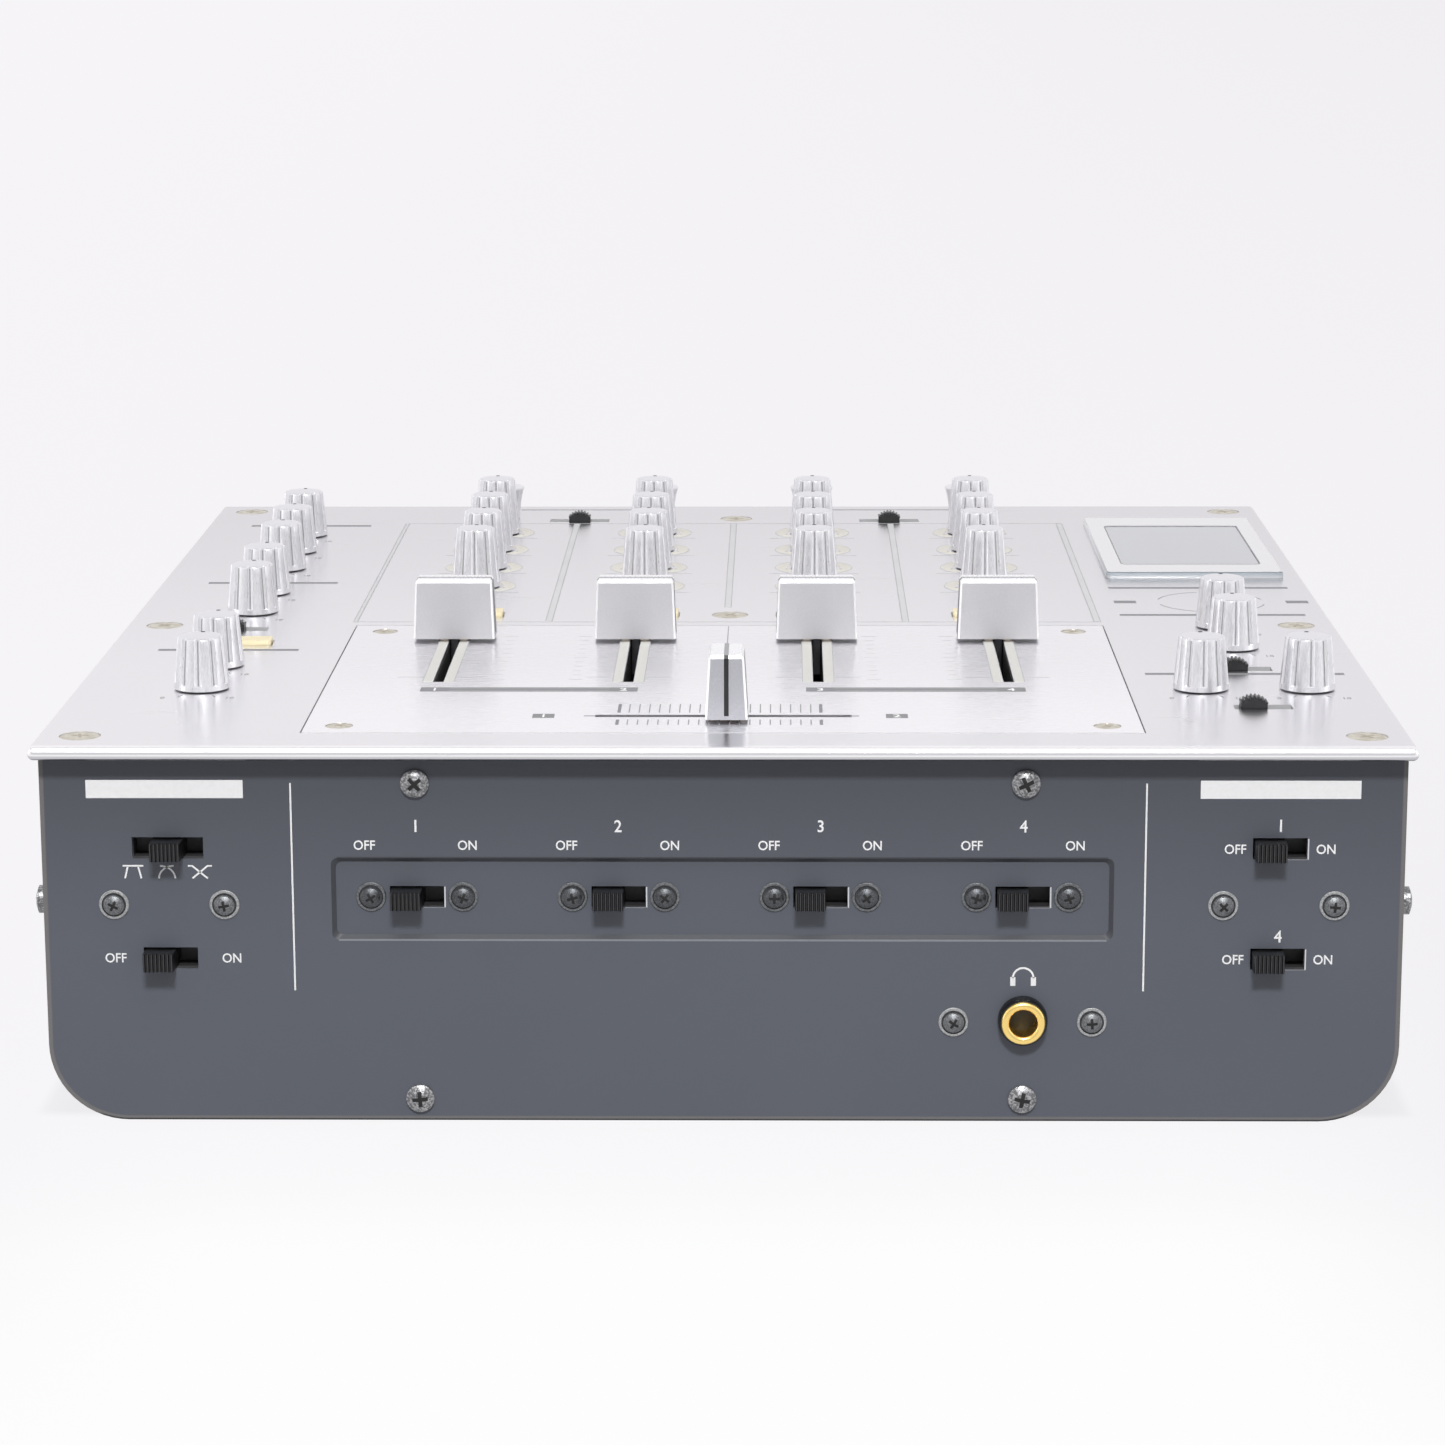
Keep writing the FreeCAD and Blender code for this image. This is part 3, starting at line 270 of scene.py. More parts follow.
def case_paint(place):
    """Blue-grey baked paint: dust in patches, painted shade towards the top, on the recess slopes and under
    the bottom edge, a painted highlight along the outline, and bare metal on the slots' cut edges.
    """
    peel = noise(place, 0.5, 2)
    cloud = noise(place, 45)
    dust = clamp(noise(place, 2.2, 6), 0.6, 0.8)
    column = abs(axis(place, "X"))
    height = axis(place, "Z")
    outward = facing(place, "Y")
    inside = (column < SIDE - 12) * (height > BASE + 8) * (height < TOP - 6)
    # Painted shade on the sloping faces of the recess.
    slope = (outward > 0.4) * (outward < 0.95) * inside
    bare = (outward < 0.25) * inside * (axis(place, "Y") < FRONT + 3)
    across = column.math("MAXIMUM", column - (SIDE - CASE_CORNER), 0.0)
    below = column.math("MAXIMUM", BASE + CASE_CORNER - height, 0.0)
    reach = column.math("SQRT", across * across + below * below)
    # Painted highlight along the front panel's outline where the sheet bends round, and painted shade under
    # its bottom edge.
    rim = clamp(reach, CASE_CORNER - 1.2, CASE_CORNER - 0.8) * (outward > 0.9)
    lip = clamp(reach, CASE_CORNER - 0.55, CASE_CORNER - 0.25)
    lip = lip * clamp(below, CASE_CORNER - 2.0, CASE_CORNER - 1.0)
    paint = mix(cloud, tint(88, 92, 101), tint(94, 98, 107))
    paint = mix(dust * 0.2, paint, tint(104, 107, 114))
    # Painted shade darkening the front towards the top, then the painted highlight, the painted shade under
    # the bottom edge and on the recess slopes.
    paint = mix(clamp(height, BASE + 44, BASE + 88), paint, tint(79, 82, 90))
    paint = mix(rim * 0.7, paint, tint(126, 122, 119))
    paint = mix(lip, paint, tint(44, 45, 48))
    paint = mix(slope, paint, tint(64, 67, 73))
    return {"Base Color": mix(bare, paint, tint(205, 205, 208)),
            "Roughness": cloud * 0.08 + dust * 0.1 + 0.42,
            "Metallic": bare,
            "Normal": bump(peel, 0.012)}


def turned_silver(place):
    """Satin plated knob: fine upright grain and a slightly duller tone in patches."""
    grain = noise(stretch(place, 1, 1, 0.12), 0.22, 3)
    cloud = noise(place, 5)
    streak = clamp(grain, 0.35, 0.65)
    return {"Base Color": mix(cloud * 0.4 + streak * 0.6, tint(221, 221, 224), tint(241, 241, 243)),
            "Roughness": grain * 0.1 + cloud * 0.05 + 0.22,
            "Normal": bump(grain, 0.003)}


def crown_silver(place):
    """The knob's flat crown, turned in fine rings."""
    rings = place.node("ShaderNodeTexWave", {"wave_type": "RINGS", "rings_direction": "Z"},
                       {"Vector": place, "Scale": 0.9, "Distortion": 0.6, "Detail": 1.0})
    grain = noise(place, 0.2, 2)
    return {"Base Color": mix(grain, tint(228, 228, 231), tint(238, 238, 240)),
            "Roughness": rings * 0.05 + grain * 0.08 + 0.3,
            "Normal": bump(rings, 0.002)}


def cap_satin(place):
    """Fader cap's faces: satin silver paint with a fine grain."""
    grain = noise(place, 0.15, 4)
    fleck = clamp(noise(place, 0.3, 5), 0.3, 0.75)
    cloud = noise(place, 9)
    colour = mix(fleck * 0.5 + cloud * 0.5, tint(173, 173, 176), tint(187, 186, 189))
    return {"Base Color": colour, "Roughness": fleck * 0.06 + 0.46, "Normal": bump(grain, 0.008)}


def cap_crown(place):
    """The cap's top, paler than its sides."""
    grain = noise(stretch(place, 0.1, 1, 1), 0.2)
    fleck = clamp(noise(place, 0.4, 5), 0.35, 0.7)
    return {"Base Color": mix(grain, tint(240, 240, 242), tint(250, 250, 251)),
            "Roughness": fleck * 0.1 + 0.25}


def black_plastic(place):
    """Moulded black plastic with a soft sheen and finger grease."""
    grain = noise(place, 0.12, 3)
    grease = clamp(noise(place, 1.6, 4), 0.4, 0.75)
    return {"Base Color": mix(grease, tint(13, 13, 15), tint(23, 23, 25)),
            "Roughness": grease * 0.18 + 0.32,
            "Normal": bump(grain, 0.01)}


def cream_plastic(place):
    """Yellowed cream plastic of the push buttons, browner in patches."""
    cloud = noise(place, 7, 4)
    grain = noise(place, 0.2, 2)
    return {"Base Color": mix(cloud, tint(240, 230, 198), tint(232, 216, 170)),
            "Roughness": cloud * 0.15 + 0.35,
            "Normal": bump(grain, 0.006)}


def zinc(place):
    """Weathered zinc of the pan head screws, mottled."""
    cloud = noise(place, 1.1, 6)
    speck = clamp(noise(place, 0.5, 5), 0.4, 0.7)
    return {"Base Color": mix(speck * 0.7 + cloud * 0.3, tint(84, 85, 87), tint(198, 198, 199)),
            "Roughness": speck * 0.14 + 0.32, "Normal": bump(speck, 0.02)}


def champagne(place):
    """Yellowed plating of the screws on the top, darker in patches."""
    cloud = noise(place, 2.2, 6)
    speck = clamp(noise(place, 0.6, 5), 0.5, 0.75)
    colour = mix(clamp(cloud, 0.35, 0.65), tint(216, 212, 198), tint(194, 188, 170))
    return {"Base Color": mix(speck * 0.4, colour, tint(176, 164, 145)),
            "Roughness": cloud * 0.15 + 0.28, "Normal": bump(cloud, 0.02)}


def gilt(place):
    """Gold plating, a little duller where plugs have worn it."""
    rub = noise(place, 2.4, 4)
    grain = noise(place, 0.2)
    return {"Base Color": mix(rub, tint(255, 226, 148), tint(246, 208, 118)),
            "Roughness": rub * 0.14 + grain * 0.05 + 0.16, "Normal": bump(grain, 0.004)}


def window_edge(place):
    """Cut edge of the clear window, its light painted in: paler low down, a cool tone darkening upwards where
    light runs along it, and a dark line along its top.
    """
    # Painted light of the clear edge: paler at the bottom, darker and cooler up, a dark line at the top.
    depth = clamp(axis(place, "Z"), TOP + 0.2, TOP + 1.3)
    rim = axis(place, "Z") > TOP + 1.45
    drag = noise(stretch(place, 0.1, 0.1, 1), 0.5)
    glass = mix(depth, tint(190, 194, 197), tint(164, 172, 179))
    return {"Base Color": mix(rim, glass, tint(118, 126, 133)), "Roughness": drag * 0.15 + 0.12}


def window_screen(place):
    """Unlit grey display behind the window, with faint vertical bands."""
    band = noise(stretch(place, 1, 0.03, 1), 9, 2)
    cloud = noise(place, 14)
    return {"Base Color": mix(band * 0.6 + cloud * 0.4, tint(113, 121, 128), tint(123, 131, 138)),
            "Roughness": cloud * 0.06 + 0.165}


def plastic(name, colour, rough=0.35):
    def paint(place):
        grain = noise(place, 0.3, 3)
        cloud = noise(place, 3)
        return {"Base Color": mix(cloud, shade(colour, 0.9), shade(colour, 1.05)),
                "Roughness": cloud * 0.12 + rough, "Normal": bump(grain, 0.008)}
    return finish(name, paint)


TOP_PLATE = finish("brushed_plate", brushed_plate)
FADER_PLATE = finish("lighter_plate", lighter_plate, Metallic=1.0)
CASE_PAINT = finish("case_paint", case_paint)
KNOB_SILVER = finish("turned_silver", turned_silver, Metallic=0.85)
# Grey for the middle of each knob flute: painted shade in the grooves.
KNOB_GROOVE_SHADE = grained("groove_shade", tint(128, 128, 131), tint(170, 170, 173), 0.3, 3, (0.45, 0.1),
                      along=(1, 1, 0.2), Metallic=0.5)
KNOB_CROWN = finish("crown_silver", crown_silver, Metallic=1.0)
CAP_SATIN = finish("cap_satin", cap_satin, Metallic=0.15)
CAP_END = grained("cap_end", tint(165, 165, 171), tint(177, 177, 183), 0.3, 5, (0.42, 0.06),
                  limits=(0.3, 0.75), Metallic=0.1)
# Near-white bevels of the fader caps: polished chamfers, whitened into a painted highlight.
CAP_BEVEL_HIGHLIGHT = grained("cap_bevel_highlight", tint(248, 248, 250), tint(255, 255, 255), 0.3, 3, (0.25, 0.08),
                     along=(1, 1, 0.1), Metallic=0.45)
CAP_CROWN = finish("cap_crown", cap_crown, Metallic=0.75)
SWITCH_BLACK = finish("black_plastic", black_plastic)
# Lighter grey for the ribs' tips: painted highlight.
RIB_TIP_HIGHLIGHT = grained("rib_tip_highlight", tint(34, 34, 36), tint(66, 66, 69), 0.3, 4, (0.3, 0.15))
BUTTON_CREAM = finish("cream_plastic", cream_plastic)
ZINC = finish("zinc", zinc, Metallic=0.85)
WASHER_ZINC = fine_zinc("washer_zinc", tint(146, 147, 148), tint(196, 197, 197), 0.38, 0.01, 0.8)
HEAD_ZINC = fine_zinc("head_zinc", tint(94, 96, 98), tint(136, 138, 140), 0.4, 0.01, 0.8)
# Darker zinc for painted shade: the washers' grooves and the screws in the recess.
SHADED_ZINC = fine_zinc("shaded_zinc", tint(70, 72, 75), tint(104, 106, 109), 0.4, None, 0.85)
CHAMPAGNE = finish("champagne", champagne, Metallic=0.9)
# Pale grey strokes along the right hand edges of the front slots.
PALE_SLOT_EDGE = grained("pale_slot_edge", tint(196, 197, 200), tint(240, 240, 242), 0.3, 3, (0.3, 0.2),
                    along=(1, 0.1, 1), Metallic=0.6)
FOOT_RUBBER = grained("foot_rubber", tint(28, 28, 29), tint(44, 44, 45), 0.5, 4, (0.7, 0.15), rise=0.05)
GILT = finish("gilt", gilt, Metallic=1.0)
GLOSS_BLACK = grained("gloss_black", tint(14, 14, 15), tint(50, 50, 51), 0.7, 5, (0.12, 0.3),
                      limits=(0.55, 0.8))
LEVER_STEEL = grained("dark_steel", tint(84, 84, 88), tint(140, 140, 144), 0.25, 3, (0.3, 0.15),
                      along=(1, 1, 0.08), rise=0.01, Metallic=1.0)
FELT_PAD = grained("felt_pad", tint(206, 192, 178), tint(232, 222, 212), 0.25, 5, (0.85, 0.1), rise=0.06)
WINDOW_BORDER = grained("window_border", tint(197, 197, 199), tint(205, 205, 207), 20, 3, (0.16, 0.05),
                        Coat_Weight=1.0)
WINDOW_EDGE = finish("window_edge", window_edge, Coat_Weight=1.0)
WINDOW_SCREEN = finish("window_screen", window_screen, Coat_Weight=1.0)
INNER_PARTS = grained("inner_parts", tint(38, 38, 40), tint(66, 66, 68), 6, 4, (0.45, 0.2))
LINE_BLACK = ink("line_black", tint(22, 22, 24), 0.4)
# Pale grey for the cap line's run over the top: painted reflection.
CAP_LINE_REFLECTION = ink("cap_line_top_reflection", tint(146, 146, 149), 0.3)
# Dark strokes for the screws' cross recesses: painted shade.
CROSS_SHADE_BLACK = ink("cross_shade_black", tint(9, 9, 10), 0.6)
CROSS_SHADE_BROWN = ink("cross_shade_brown", tint(168, 160, 146))
PRINT_GREY = ink("print_grey", tint(132, 132, 135))
PRINT_LIGHT = ink("print_light", tint(152, 152, 155))
PRINT_PALE = ink("print_pale", tint(176, 176, 178))
PRINT_FIELD = ink("print_field", tint(194, 194, 196))
PRINT_SEAM = ink("print_seam", tint(208, 208, 210))
PRINT_WHITE = ink("print_white", tint(255, 255, 255))
PRINT_CREAM = ink("print_cream", tint(214, 211, 203))
# Painted highlight and painted shade for the lips of the recess and the slots.
LIP_HIGHLIGHT = ink("lip_highlight", tint(142, 145, 152))
LIP_SHADE = ink("lip_shade", tint(62, 64, 70))
SLOT_STRIP = ink("slot_strip", tint(211, 210, 205))
SOCKET_WHITE = plastic("socket_white", tint(232, 230, 226))
SOCKET_RED = plastic("socket_red", tint(190, 34, 34))


# Shapes

class Shape:
    """Mesh in the making, in millimetres, with a finish for each face."""

    def __init__(self):
        self.points = []
        self.faces = []
        self.finishes = []

    def add(self, points, faces, finish_of):
        """Adds points and faces. finish_of is one finish, or a function of the face's number."""
        start = len(self.points)
        self.points.extend(points)
        for i, face in enumerate(faces):
            self.faces.append([start + corner for corner in face])
            self.finishes.append(finish_of(i) if callable(finish_of) else finish_of)

    def skin(self, rings, finish_of, closed=False):
        """Skin over rings of equal count, each turning left as seen from the last ring. Ends are flat."""
        count = len(rings[0])
        faces = []
        steps = len(rings) if closed else len(rings) - 1
        for i in range(steps):
            low = i * count
            high = (i + 1) % len(rings) * count
            for j in range(count):
                k = (j + 1) % count
                faces.append((low + j, low + k, high + k, high + j))
        if not closed:
            faces.append(tuple(reversed(range(count))))
            faces.append(tuple(range((len(rings) - 1) * count, len(rings) * count)))
        self.add([point for ring in rings for point in ring], faces, finish_of)

    def mesh(self, name, smooth=30):
        """Blender mesh in metres. Edges that turn by more than smooth degrees stay sharp."""
        made = bpy.data.meshes.new(name)
        made.from_pydata([Vector(point) * MM for point in self.points], [], self.faces)
        used = list(dict.fromkeys(self.finishes))
        for material in used:
            made.materials.append(material)
        for polygon, material in zip(made.polygons, self.finishes):
            polygon.material_index = used.index(material)
            polygon.use_smooth = True
        made.set_sharp_from_angle(angle=math.radians(smooth))
        return made


def piece(name, mesh, body, stands_for=(), place=(0, 0, 0), turn=0):
    """Object that rides on a body, at a place in millimetres, turned about Z by degrees."""
    made = bpy.data.objects.new(name, mesh)
    bpy.context.scene.collection.objects.link(made)
    made.location = Vector(place) * MM
    made.rotation_euler.z = math.radians(turn)
    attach(made, body)
    if stands_for:
        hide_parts(*stands_for)
    return made


def control(node, ending, mesh, turn=0):
    """Piece that stands for a control on the top panel and rides on its body."""
    middle = centre(node)
    piece(f"{node}_{ending}", mesh, node, [node], (middle.x, middle.y, TOP), turn)


LEAST_CORNER = 0.02


def upward(x, y, z):
    return x, y, z


def turned(shape, profile, finish_of, put=upward, sides=48, closed=False):
    """Lathe work: profile holds (radius, height) pairs from the bottom up. put places each point."""
    angles = [2 * math.pi * i / sides for i in range(sides)]
    rings = [[put(radius * math.cos(angle), radius * math.sin(angle), height) for angle in angles]
             for radius, height in profile]
    shape.skin(rings, finish_of, closed)


def round_ring(x0, x1, y0, y1, radius, height, put=upward):
    """Rectangle with round corners at a height, turning left from its far right corner."""
    ring = []
    for sx, sy, first in ((1, 1, 0), (-1, 1, 90), (-1, -1, 180), (1, -1, 270)):
        cx = (x1 if sx > 0 else x0) - sx * radius
        cy = (y1 if sy > 0 else y0) - sy * radius
        for step in range(4):
            angle = math.radians(first + step * 30)
            ring.append(put(cx + radius * math.cos(angle), cy + radius * math.sin(angle), height))
    return ring


def slab(shape, x0, x1, y0, y1, levels, finish_of, put=upward, corner=0.0):
    """Upright block with rounded corners. levels holds (height, inset) pairs from the bottom up."""
    rings = []
    for height, inset in levels:
        radius = max(corner - inset, LEAST_CORNER)
        rings.append(round_ring(x0 + inset, x1 - inset, y0 + inset, y1 - inset, radius, height, put))
    shape.skin(rings, finish_of)


# Knobs

KNOB_GAP = 0.25
FLUTES = 10
FLUTE_RADIUS = 1.0
FLUTE_SINK = 0.55
SKIRT = 1.5
CROWN_BEVEL = 0.5
DOT_RADIUS = 0.55
SHAFT = [(3.0, -14.0), (3.0, KNOB_GAP)]
SELECTOR_CROWN = 9.3
SELECTOR_FLARE = [(4.85, 0.0), (5.0, 0.2), (5.1, 2.2), (5.35, 4.6), (5.75, 6.8), (6.2, 8.6), (6.4, 9.0),
                  (6.36, 9.3), (6.1, 9.5), (5.5, 9.42), (2.5, SELECTOR_CROWN)]


def flute_angles(radius):
    """Angles round the knob, closer together across the flutes than on the ridges between them."""
    reach = radius + FLUTE_RADIUS - FLUTE_SINK
    half = math.acos((radius ** 2 + reach ** 2 - FLUTE_RADIUS ** 2) / (2 * radius * reach))
    pitch = 2 * math.pi / FLUTES
    across = [half * step / 4 for step in range(-4, 5)]
    edge = half + math.radians(0.7)
    ridge = [edge + (pitch - 2 * edge) * step / 7 for step in range(8)]
    return [turn * pitch - math.pi / 2 + angle for turn in range(FLUTES) for angle in across + ridge]


def fluted_radius(angle, wall, limit):
    """Distance from the axis to a knob's surface, where wall is its radius between the flutes."""
    pitch = 2 * math.pi / FLUTES
    off = (angle + math.pi / 2 + pitch / 2) % pitch - pitch / 2
    reach = wall + FLUTE_RADIUS - FLUTE_SINK
    room = FLUTE_RADIUS ** 2 - (reach * math.sin(off)) ** 2
    if room < 0:
        return limit
    return min(limit, max(reach * math.cos(off) - math.sqrt(room), 0.1))


def knob_mesh(name, base, crown, height, dot_place):
    """Tapered fluted knob on its shaft, with a black dot at the back of its crown and painted shade along the
    middle of each flute.
    """
    shape = Shape()
    angles = flute_angles((base + crown) / 2)
    count = len(angles)
    levels = [(0.0, base - 0.25, False), (0.2, base, False), (SKIRT - 0.12, None, False), (SKIRT, None, True)]
    levels += [(SKIRT + (height - CROWN_BEVEL - SKIRT) * step / 5, None, True) for step in range(1, 6)]
    levels += [(height - 0.2, crown - 0.14, True), (height, crown - CROWN_BEVEL, True)]
    levels += [(height + 0.06, crown - 1.3, False), (height + 0.12, 2.0, False)]
    rings = []
    for level, limit, fluted in levels:
        wall = base - (base - crown) * level / (height - CROWN_BEVEL)
        limit = wall if limit is None else limit
        ring = []
        for angle in angles:
            radius = fluted_radius(angle, wall, limit) if fluted else limit
            ring.append((radius * math.cos(angle), radius * math.sin(angle), KNOB_GAP + level))
        rings.append(ring)
    step = count // FLUTES

    def finish_of(i):
        wall, side = divmod(i, count)
        if wall >= len(rings) - 3:
            return KNOB_SILVER if i == count * (len(rings) - 1) else KNOB_CROWN
        # The middle faces of each flute take the painted groove shade.
        return KNOB_GROOVE_SHADE if 3 <= wall < len(rings) - 5 and side % step in (3, 4) else KNOB_SILVER
    shape.skin(rings, finish_of)
    turned(shape, SHAFT, LEVER_STEEL, sides=24)
    top = KNOB_GAP + height
    inlay = [(DOT_RADIUS, top - 0.3), (DOT_RADIUS, top + 0.11), (DOT_RADIUS - 0.1, top + 0.13)]
    turned(shape, inlay, LINE_BLACK, put=lambda x, y, z: (x, y + dot_place, z), sides=16)
    return shape.mesh(name)


def dress_knobs():
    wide = knob_mesh("wide_knob", base=6.85, crown=5.7, height=13.0, dot_place=4.5)
    tall = knob_mesh("tall_knob", base=6.7, crown=5.35, height=16.3, dot_place=4.2)
    for mesh, names in ((wide, WIDE_KNOBS), (tall, TALL_KNOBS)):
        for name in names:
            control(name, "fluted", mesh)


def selector_mesh():
    """Flared selector knob with a rolled rim, a dished crown and a pointer line."""
    shape = Shape()
    turned(shape, [(radius, KNOB_GAP + height) for radius, height in SELECTOR_FLARE], KNOB_SILVER, sides=64)
    turned(shape, SHAFT, LEVER_STEEL, sides=24)
    crown = KNOB_GAP + SELECTOR_CROWN
    slab(shape, -0.4, 0.4, 1.5, 5.4, [(crown - 0.2, 0), (crown + 0.14, 0)], LINE_BLACK, corner=0.1)
    return shape.mesh("selector_flare")


def dress_selectors():
    flare = selector_mesh()
    for channel in CHANNELS:
        control(f"ch{channel}_selector_knob", "flare", flare)


# Faders

CAP_WIDE = 10.1
CAP_WIDE_TOP = 8.3
CAP_HEIGHT = 15.4
CAP_GAP = 0.75
CAP_BEVEL = 0.5
CAP_BROW = 0.75
CAP_TAPER = 1.2
CAP_LINE = 1.1
LINE_FOOT = 1.0
LINE_SINK = 0.2
LINE_RISE = 0.06
FADER_LONG = 21.0
CROSSFADER_LONG = 16.7
LEVER_HALF = (1.1, 3.0)
LEVER_FOOT = -9.0
PAD_NEAR = 1.35
PAD_FAR = 3.6
PAD_LONG = 8.6
CAP_SEAT = CAP_GAP + 0.3


def cap_ring(long, level, inset, bevel):
    """Outline of a cap at a level: a rectangle with bevelled corners, turning left from its right end."""
    share = level / CAP_HEIGHT
    a = (long - CAP_TAPER * share) / 2 - inset
    b = (CAP_WIDE + (CAP_WIDE_TOP - CAP_WIDE) * share) / 2 - inset
    corners = [(a, -b + bevel), (a, b - bevel), (a - bevel, b), (-a + bevel, b), (-a, b - bevel),
               (-a, -b + bevel), (-a + bevel, -b), (a - bevel, -b)]
    return [(x, y, CAP_GAP + level) for x, y in corners]


def cap_mesh(name, long):
    """Tapered cap with polished bevels whitened into a painted highlight, a black line over its length that
    goes pale grey over the top as a painted reflection, its lever and the pads beside that.
    """
    shape = Shape()
    rings = [cap_ring(long, 0, 0.12, CAP_BEVEL), cap_ring(long, 0.12, 0, CAP_BEVEL),
             cap_ring(long, CAP_HEIGHT - CAP_BROW, 0, CAP_BEVEL), cap_ring(long, CAP_HEIGHT, CAP_BEVEL, 0.1)]

    def finish_of(i):
        wall, side = divmod(i, len(rings[0]))
        if wall == len(rings) - 1:
            return CAP_CROWN if side else CAP_END
        # Bevels take the painted highlight.
        if (wall == 1 and side % 2) or wall == 2:
            return CAP_BEVEL_HIGHLIGHT
        return CAP_END if side in (0, 4) else CAP_SATIN
    shape.skin(rings, finish_of)
    low = (long - CAP_TAPER * LINE_FOOT / CAP_HEIGHT) / 2
    high = (long - CAP_TAPER) / 2
    ridge = CAP_GAP + CAP_HEIGHT
    path = [(low, CAP_GAP + LINE_FOOT), (high, ridge - CAP_BROW), (high - CAP_BEVEL, ridge)]
    path += [(-x, z) for x, z in reversed(path)]
    out = [(1, 0), (0.9, 0.4), (0.4, 0.9), (-0.4, 0.9), (-0.9, 0.4), (-1, 0)]
    ribbon = []
    edges = ((CAP_LINE / 2, -LINE_SINK), (-CAP_LINE / 2, -LINE_SINK), (-CAP_LINE / 2, LINE_RISE),
             (CAP_LINE / 2, LINE_RISE))
    for (x, z), (ox, oz) in zip(path, out):
        ribbon.append([(x + rise * ox, y, z + rise * oz) for y, rise in edges])
    # The line's run over the top is pale grey, a painted reflection.
    shape.skin(ribbon, lambda i: CAP_LINE_REFLECTION if i // len(edges) == 2 else LINE_BLACK)
    lever = [(LEVER_FOOT, 0.2), (LEVER_FOOT + 0.2, 0), (CAP_SEAT, 0)]
    a, b = LEVER_HALF
    slab(shape, -a, a, -b, b, lever, LEVER_STEEL, corner=0.3)
    pad = [(0.2, 0.2), (0.4, 0), (CAP_SEAT, 0)]
    for side in (-1, 1):
        x0, x1 = sorted((side * PAD_NEAR, side * PAD_FAR))
        slab(shape, x0, x1, -PAD_LONG / 2, PAD_LONG / 2, pad, FELT_PAD, corner=0.5)
    return shape.mesh(name, 20)


def dress_faders():
    cap = cap_mesh("fader_cap", FADER_LONG)
    for name in FADERS:
        control(name, "cap", cap)
    control("crossfader", "cap", cap_mesh("crossfader_cap", CROSSFADER_LONG), turn=90)


# Slide switches

GRIP_RIBS = 8
GRIP_EASE = 0.15
GRIP_HALF = 3.7
GRIP_FACE = -5.3
GRIP_ROOT = -4.75
GRIP_BACK = 6.0
ARCH_RADIUS = 4.56
ARCH_TOP = 2.9
ARCH_HALF = 3.55
ARCH_FOOT = -7.0
TOOTH = 0.5


def grip(name, outline, lit_tips, depth, put):
    """Ribbed block: an outline drawn out by a depth, with its ends eased. lit_tips holds the ribs' tips,
    which take a painted highlight.
    """
    shape = Shape()
    half = depth / 2
    rings = []
    for height, share in ((-half, 0.95), (-half + GRIP_EASE, 1), (half - GRIP_EASE, 1), (half, 0.95)):
        rings.append([put(a * share, b * share, height) for a, b in outline])
    count = len(outline)
    # The ribs' tips take the painted highlight.
    shape.skin(rings, lambda i: RIB_TIP_HIGHLIGHT if i < 3 * count and i % count in lit_tips else SWITCH_BLACK)
    return shape.mesh(name)


def front_grip():
    """Grip of a front slide switch, ribbed across its face."""
    outline = [(-GRIP_HALF, GRIP_BACK)]
    lit_tips = []
    pitch = 2 * GRIP_HALF / GRIP_RIBS
    for rib in range(GRIP_RIBS):
        left = -GRIP_HALF + rib * pitch
        right = left + pitch
        outline += [(left + 0.06, GRIP_ROOT), (left + 0.24, GRIP_FACE), (right - 0.4, GRIP_FACE),
                    (right - 0.22, GRIP_ROOT)]
        lit_tips.append(len(outline) - 3)
    outline.append((GRIP_HALF, GRIP_BACK))
    return grip("front_grip", outline, lit_tips, 4.4, upward)


def top_grip():
    """Grip of a top slide switch: an arch with teeth."""
    middle = ARCH_TOP - ARCH_RADIUS
    root = ARCH_RADIUS - TOOTH
    spread = math.asin(ARCH_HALF / ARCH_RADIUS)
    outline = [(-ARCH_HALF, ARCH_FOOT), (ARCH_HALF, ARCH_FOOT)]
    lit_tips = []
    pitch = 2 * spread / GRIP_RIBS
    for rib in range(GRIP_RIBS):
        first = spread - rib * pitch
        for part, reach in ((0.0, root), (0.3, ARCH_RADIUS), (0.62, ARCH_RADIUS), (0.92, root)):
            angle = first - part * pitch
            outline.append((reach * math.sin(angle), middle + reach * math.cos(angle)))
        lit_tips.append(len(outline) - 3)
    return grip("top_grip", outline, lit_tips, 4.6, lambda a, b, height: (a, -height, b))


def dress_switches():
    front = front_grip()
    for name in FRONT_SWITCHES:
        sink = RECESS_SINK if "reverse" in name and name != "crossfader_reverse_switch" else 0
        middle = centre(name)
        piece(f"{name}_grip", front, name, [name], (middle.x, FRONT + sink, middle.z))
    top = top_grip()
    for name in TOP_SWITCHES:
        control(name, "grip", top)


# Display

WINDOW_CORNER = 1.3
SCREEN_COLUMNS = (110.2, 149.2)
SCREEN_ROWS = (223.4, 288.2)
SCREEN_CORNER = 1.4
SCREEN_SINK = 0.12
RIM_GAP = 0.15
RIM_CORNER = 1.5
TRAY_HALF = 21.0
TRAY_ROWS = (221.8, 289.8)


